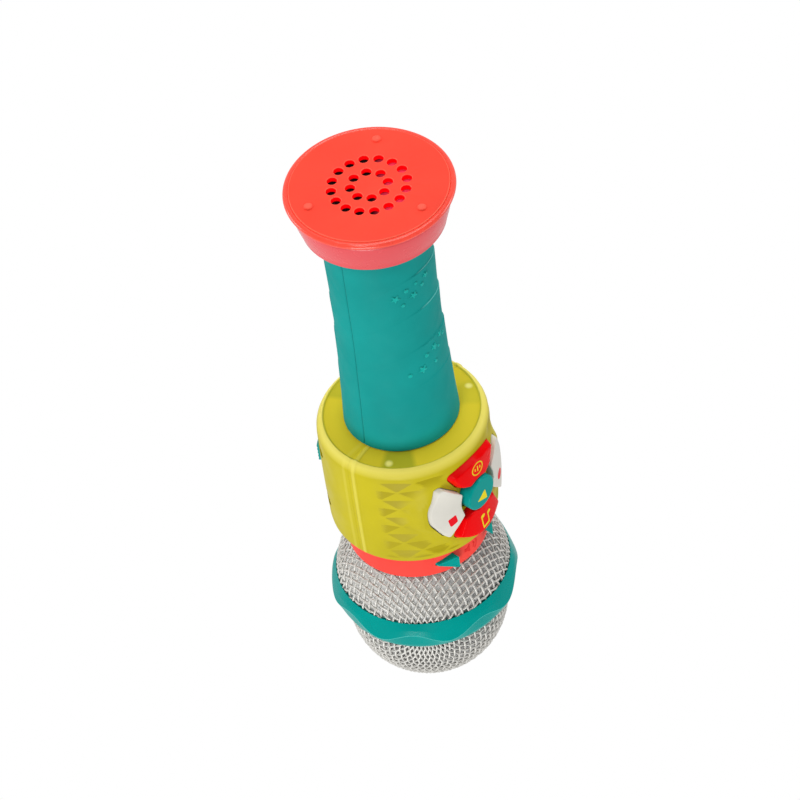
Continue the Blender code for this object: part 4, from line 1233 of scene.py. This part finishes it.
def make_lights(right, up, back, middle):
    """Soft light from both sides of the camera and from behind the head, and a white surround."""
    lamp("front", middle - up * 0.95 + back * 0.35 - right * 0.15, middle, 0.5, 7.2)
    lamp("near", Vector((0.54, -0.21, -0.76)), Vector((0, 0, 0)), 0.2, 2.2)
    lamp("end", middle + up * 0.85 + back * 0.6, middle, 0.6, 4.8)
    lamp("left", middle - right * 1.0 + up * 0.25, middle, 0.5, 3.5)
    lamp("right", middle + right * 1.0 + up * 0.35, middle, 0.4, 3.0)
    world = bpy.data.worlds.new("surround")
    bpy.context.scene.world = world
    world.use_nodes = True
    tree = world.node_tree
    direction = add(tree, "TexCoord", {}).outputs["Generated"]
    toward = add(tree, "VectorMath", {0: direction, 1: back}, "DOT_PRODUCT").outputs["Value"]
    limits = {"From Min": -0.2, "From Max": 0.35, "To Min": 0.75, "To Max": 0.4}
    spread = add(tree, "MapRange", {"Value": toward, **limits}).outputs["Result"]
    seen = add(tree, "LightPath", {}).outputs["Is Camera Ray"]
    strength = add(tree, "Mix", {"Factor": seen, "A": spread, "B": 1.0}).outputs["Result"]
    feed(tree, tree.nodes["Background"], {"Color": (1, 1, 1, 1), "Strength": strength})


def make_camera():
    """Looks up past the speaker end at the standing toy, rolled so that the speaker is on top."""
    right = Vector((-0.6264, -0.7731, 0.1001)).normalized()
    up = Vector((-0.6056, 0.4018, -0.6869))
    back = right.cross(up).normalized()
    up = back.cross(right)
    camera = bpy.data.cameras.new("camera")
    camera.lens = 180.0
    camera.sensor_width = 36.0
    obj = bpy.data.objects.new("camera", camera)
    turn = Matrix((right, up, back)).transposed().to_4x4()
    obj.matrix_world = Matrix.Translation((0.6933, -0.6933, -0.9111)) @ turn
    bpy.context.scene.collection.objects.link(obj)
    bpy.context.scene.camera = obj
    return right, up, back


# ---------------------------------------------------------------- finishes


def cover_paint(recipe, colour):
    """The hole walls are painted a deeper red with a painted glow, standing in for light through the plastic,
    and the flares, feet and rim get painted highlights.
    """
    face, painted_wall_red = (0, 0, COVER_BOTTOM), (235, 0, 8)
    near = recipe.spot(face, 17.0, 19.0)
    wall = recipe.product(recipe.mask((0, 0, 1), 0.25, 0.4, face), near)
    flare = recipe.product(recipe.mask((0, 0, 1), 0.01, 0.06, face), near)
    foot = recipe.mask((0, 0, -1), 0.3, 0.7, face)
    rim = recipe.spot(face, COVER_RADIUS - 0.05, COVER_RADIUS - 0.3)
    # Painted glow: emission on the hole walls stands in for light passing through the plastic.
    recipe.complete({"Emission Color": recipe.blend(wall, (0, 0, 0), painted_wall_red)})
    # Painted highlights on the rim, feet and flares, and a painted deeper red on the hole walls.
    for share, tone in ((rim, (255, 112, 90)), (foot, (253, 92, 74)), (flare, (255, 104, 84)), (wall, painted_wall_red)):
        colour = recipe.blend(share, colour, tone)
    return colour


def cap_paint(recipe, colour):
    """The cap's taper is painted pinker than its lip, a painted sheen where the light falls on it."""
    return recipe.blend(recipe.mask((0, 0, 1), 3.2, 3.9), colour, (219, 71, 77))


def collar_paint(recipe, colour):
    """The translucent collar: painted shade on the facets that face the speaker end, a painted glow on its
    dished end, painted highlights round its rim and beside its seam beads; the lights and their boards show
    through it.
    """
    up, down, dish = (0, 0, 1), (0, 0, -1), (0, 0, DISH_HEIGHT)
    # Painted shade: the facets that face the speaker end are painted darker, away from the keys.
    normal = {0: recipe.surface("True Normal"), 1: down}
    facing = recipe.add("VectorMath", normal, "DOT_PRODUCT").outputs["Value"]
    painted_facet_shade = [recipe.ramp(facing, 0, 1, 0.04, 0.14), recipe.mask(up, 115.4, 116.4)]
    for side in (1, -1):
        key = Vector((14.5 * side, -27.0, CLUSTER_HEIGHT))
        painted_facet_shade.append(recipe.ramp(recipe.spot(key, 12.5, 17.0), 1, 0))
    colour = recipe.blend(recipe.product(*painted_facet_shade), colour, (168, 154, 20))

    # Painted glow: the dished end inside the rim is painted paler and brighter.
    end = recipe.mask(down, -111.6, -111.1)
    inside = recipe.spot(dish, 27.6, 28.3)
    colour = recipe.blend(recipe.product(end, inside), colour, (224, 203, 46))
    # Painted highlight: a paler band round the outside of the rim.
    rim = recipe.mask(down, -114.6, -111.6)
    outside = recipe.spot(dish, 28.5, 27.9)
    colour = recipe.blend(recipe.product(rim, outside), colour, (230, 217, 98))
    # The boards behind the lights show through as darker patches; their differing strengths are painted
    # shade.
    for front_angle, strength in ((61, 0.9), (180, 0.6), (-61, 0.3)):
        before, after = (20, 5) if front_angle > 0 else (5, 20)
        edges = []
        for angle, sign in ((front_angle - before, 1), (front_angle + after, -1)):
            turn = math.radians(angle)
            edges.append(recipe.mask((sign * math.cos(turn), sign * math.sin(turn), 0), -1.0, 1.0))
        shade = recipe.ramp(recipe.product(end, inside, *edges), 0, strength)
        colour = recipe.blend(shade, colour, (176, 174, 40))
        light = recipe.spot(around(25.8, front_angle, DISH_HEIGHT - 0.1), 0.7, 1.7)
        colour = recipe.blend(light, colour, (246, 236, 130))
    # Painted highlight: a pale line beside each seam bead, stronger on one side.
    for angle, strength in ((BEAD_ANGLE, 0.35), (-BEAD_ANGLE, 0.15)):
        along = (math.cos(math.radians(angle)), math.sin(math.radians(angle)), 0)
        far = recipe.ramp(recipe.mask(along, 0.4, 0.9), strength, 0)
        colour = recipe.blend(recipe.product(recipe.mask(along, -0.9, -0.4), far), colour, (236, 226, 110))
    return colour


def ring_paint(recipe, colour):
    """The crest of the head ring's crease catches the light, in a thin line."""
    crest = recipe.add("Attribute", {})
    crest.attribute_name = "crest"
    return recipe.blend(recipe.ramp(crest.outputs["Fac"], 0, 1, 0.25, 0.9), colour, (86, 190, 183))


def grip_paint(recipe, colour):
    """The edges of the bands on the grip catch the light on the -X side of the front shell."""
    sides = [recipe.mask((-1, 0, 0), -3.0, 1.0), recipe.mask((0, -1, 0), 0.0, 1.0)]
    for start, rise, _ in GRIP_BANDS[:3]:
        axis, level = (0, -rise / HANDLE_RADIUS, 1), start + rise
        above = recipe.ramp(recipe.mask(axis, level + 0.15, level + 0.4), 1, 0)
        line = recipe.product(recipe.mask(axis, level - 0.2, level), above, *sides)
        colour = recipe.blend(line, colour, (96, 188, 182))
    return colour


def liner_paint(recipe, colour):
    """The dome behind the neck's weave is paler in the middle than on its shaded side."""
    return recipe.blend(recipe.mask(SHADED_SIDE, 2.0, 22.0), (236, 236, 234), colour)


def cloth_paint(recipe, colour):
    """The dust cloth is black on one side and catches the red of the cover on the other."""
    return recipe.blend(recipe.mask(SHADED_SIDE, 1.0, 7.0), colour, (214, 60, 96))


coral = moulded("coral_plastic", (244, 70, 60), 0.5, 0.02)
# The cover's emission is a painted glow on its hole walls, from cover_paint.
coral_cover = moulded(
    "coral_cover", (242, 70, 52), 0.42, 0.02, edge_highlight=0, paint=cover_paint, Emission_Strength=0.5
)
coral_cap = moulded("coral_cap", (244, 72, 54), 0.24, 0.006, paint=cap_paint, Specular_IOR_Level=0.45)
coral_ink = moulded("coral_symbol", (226, 40, 36), 0.42, 0.02)
teal = moulded("teal_plastic", (20, 145, 140), 0.6, 0.02, paint=grip_paint, Specular_IOR_Level=0.05)
# The stars and dots are a paler teal than the grip: a painted highlight on their raised tops.
teal_motif_highlight = moulded("teal_motif_highlight", (14, 166, 156), 0.4, 0.01, Specular_IOR_Level=0.1)
teal_gloss = moulded("teal_gloss", (0, 146, 139), 0.2, 0.008, Specular_IOR_Level=0.045)
yellow = moulded(
    "yellow_translucent", (186, 173, 26), 0.4, 0.015, 0.5, edge_highlight=0, paint=collar_paint, Specular_IOR_Level=0.08
)
teal_ring = moulded("teal_ring", (0, 146, 139), 0.25, 0.008, paint=ring_paint, Specular_IOR_Level=0.045)
red = moulded("red_plastic", (232, 0, 4), 0.22, 0.006, Specular_IOR_Level=0.04)
white = moulded("white_plastic", (213, 210, 200), 0.35, 0.006)
ink_yellow = moulded("ink_yellow", (228, 210, 10), 0.35, 0.004)
ink_red = moulded("ink_red", (226, 6, 28), 0.35, 0.004)
wire_metal = metal("silver_wire", (218, 216, 210), 0.42, 0.3)
grey = moulded("grey_plastic", (190, 190, 190), 0.6, 0.02)
grey_neck = moulded("grey_liner", (190, 190, 190), 0.6, 0.02, paint=liner_paint)
steel = metal("steel", (180, 180, 186), 0.3)

make_cover(coral_cover)
make_cap(coral_cap)
make_handle(teal, teal_motif_highlight)
make_door(teal)
make_screws(steel)
make_collar_front(yellow)
make_collar_rear(yellow)
make_buttons(red, white, teal_gloss)
make_symbols(ink_yellow, ink_red)
make_power_knob(teal)
make_neck(coral, teal_gloss)
make_volume_symbol(coral_ink)
make_domes(wire_metal)
make_liners(grey, grey_neck)
make_ring(teal_ring)
dress_inner_nodes()

make_stage()
right, up, back = make_camera()
make_lights(right, up, back, TOY_MIDDLE)
bpy.context.scene.view_settings.view_transform = "Standard"
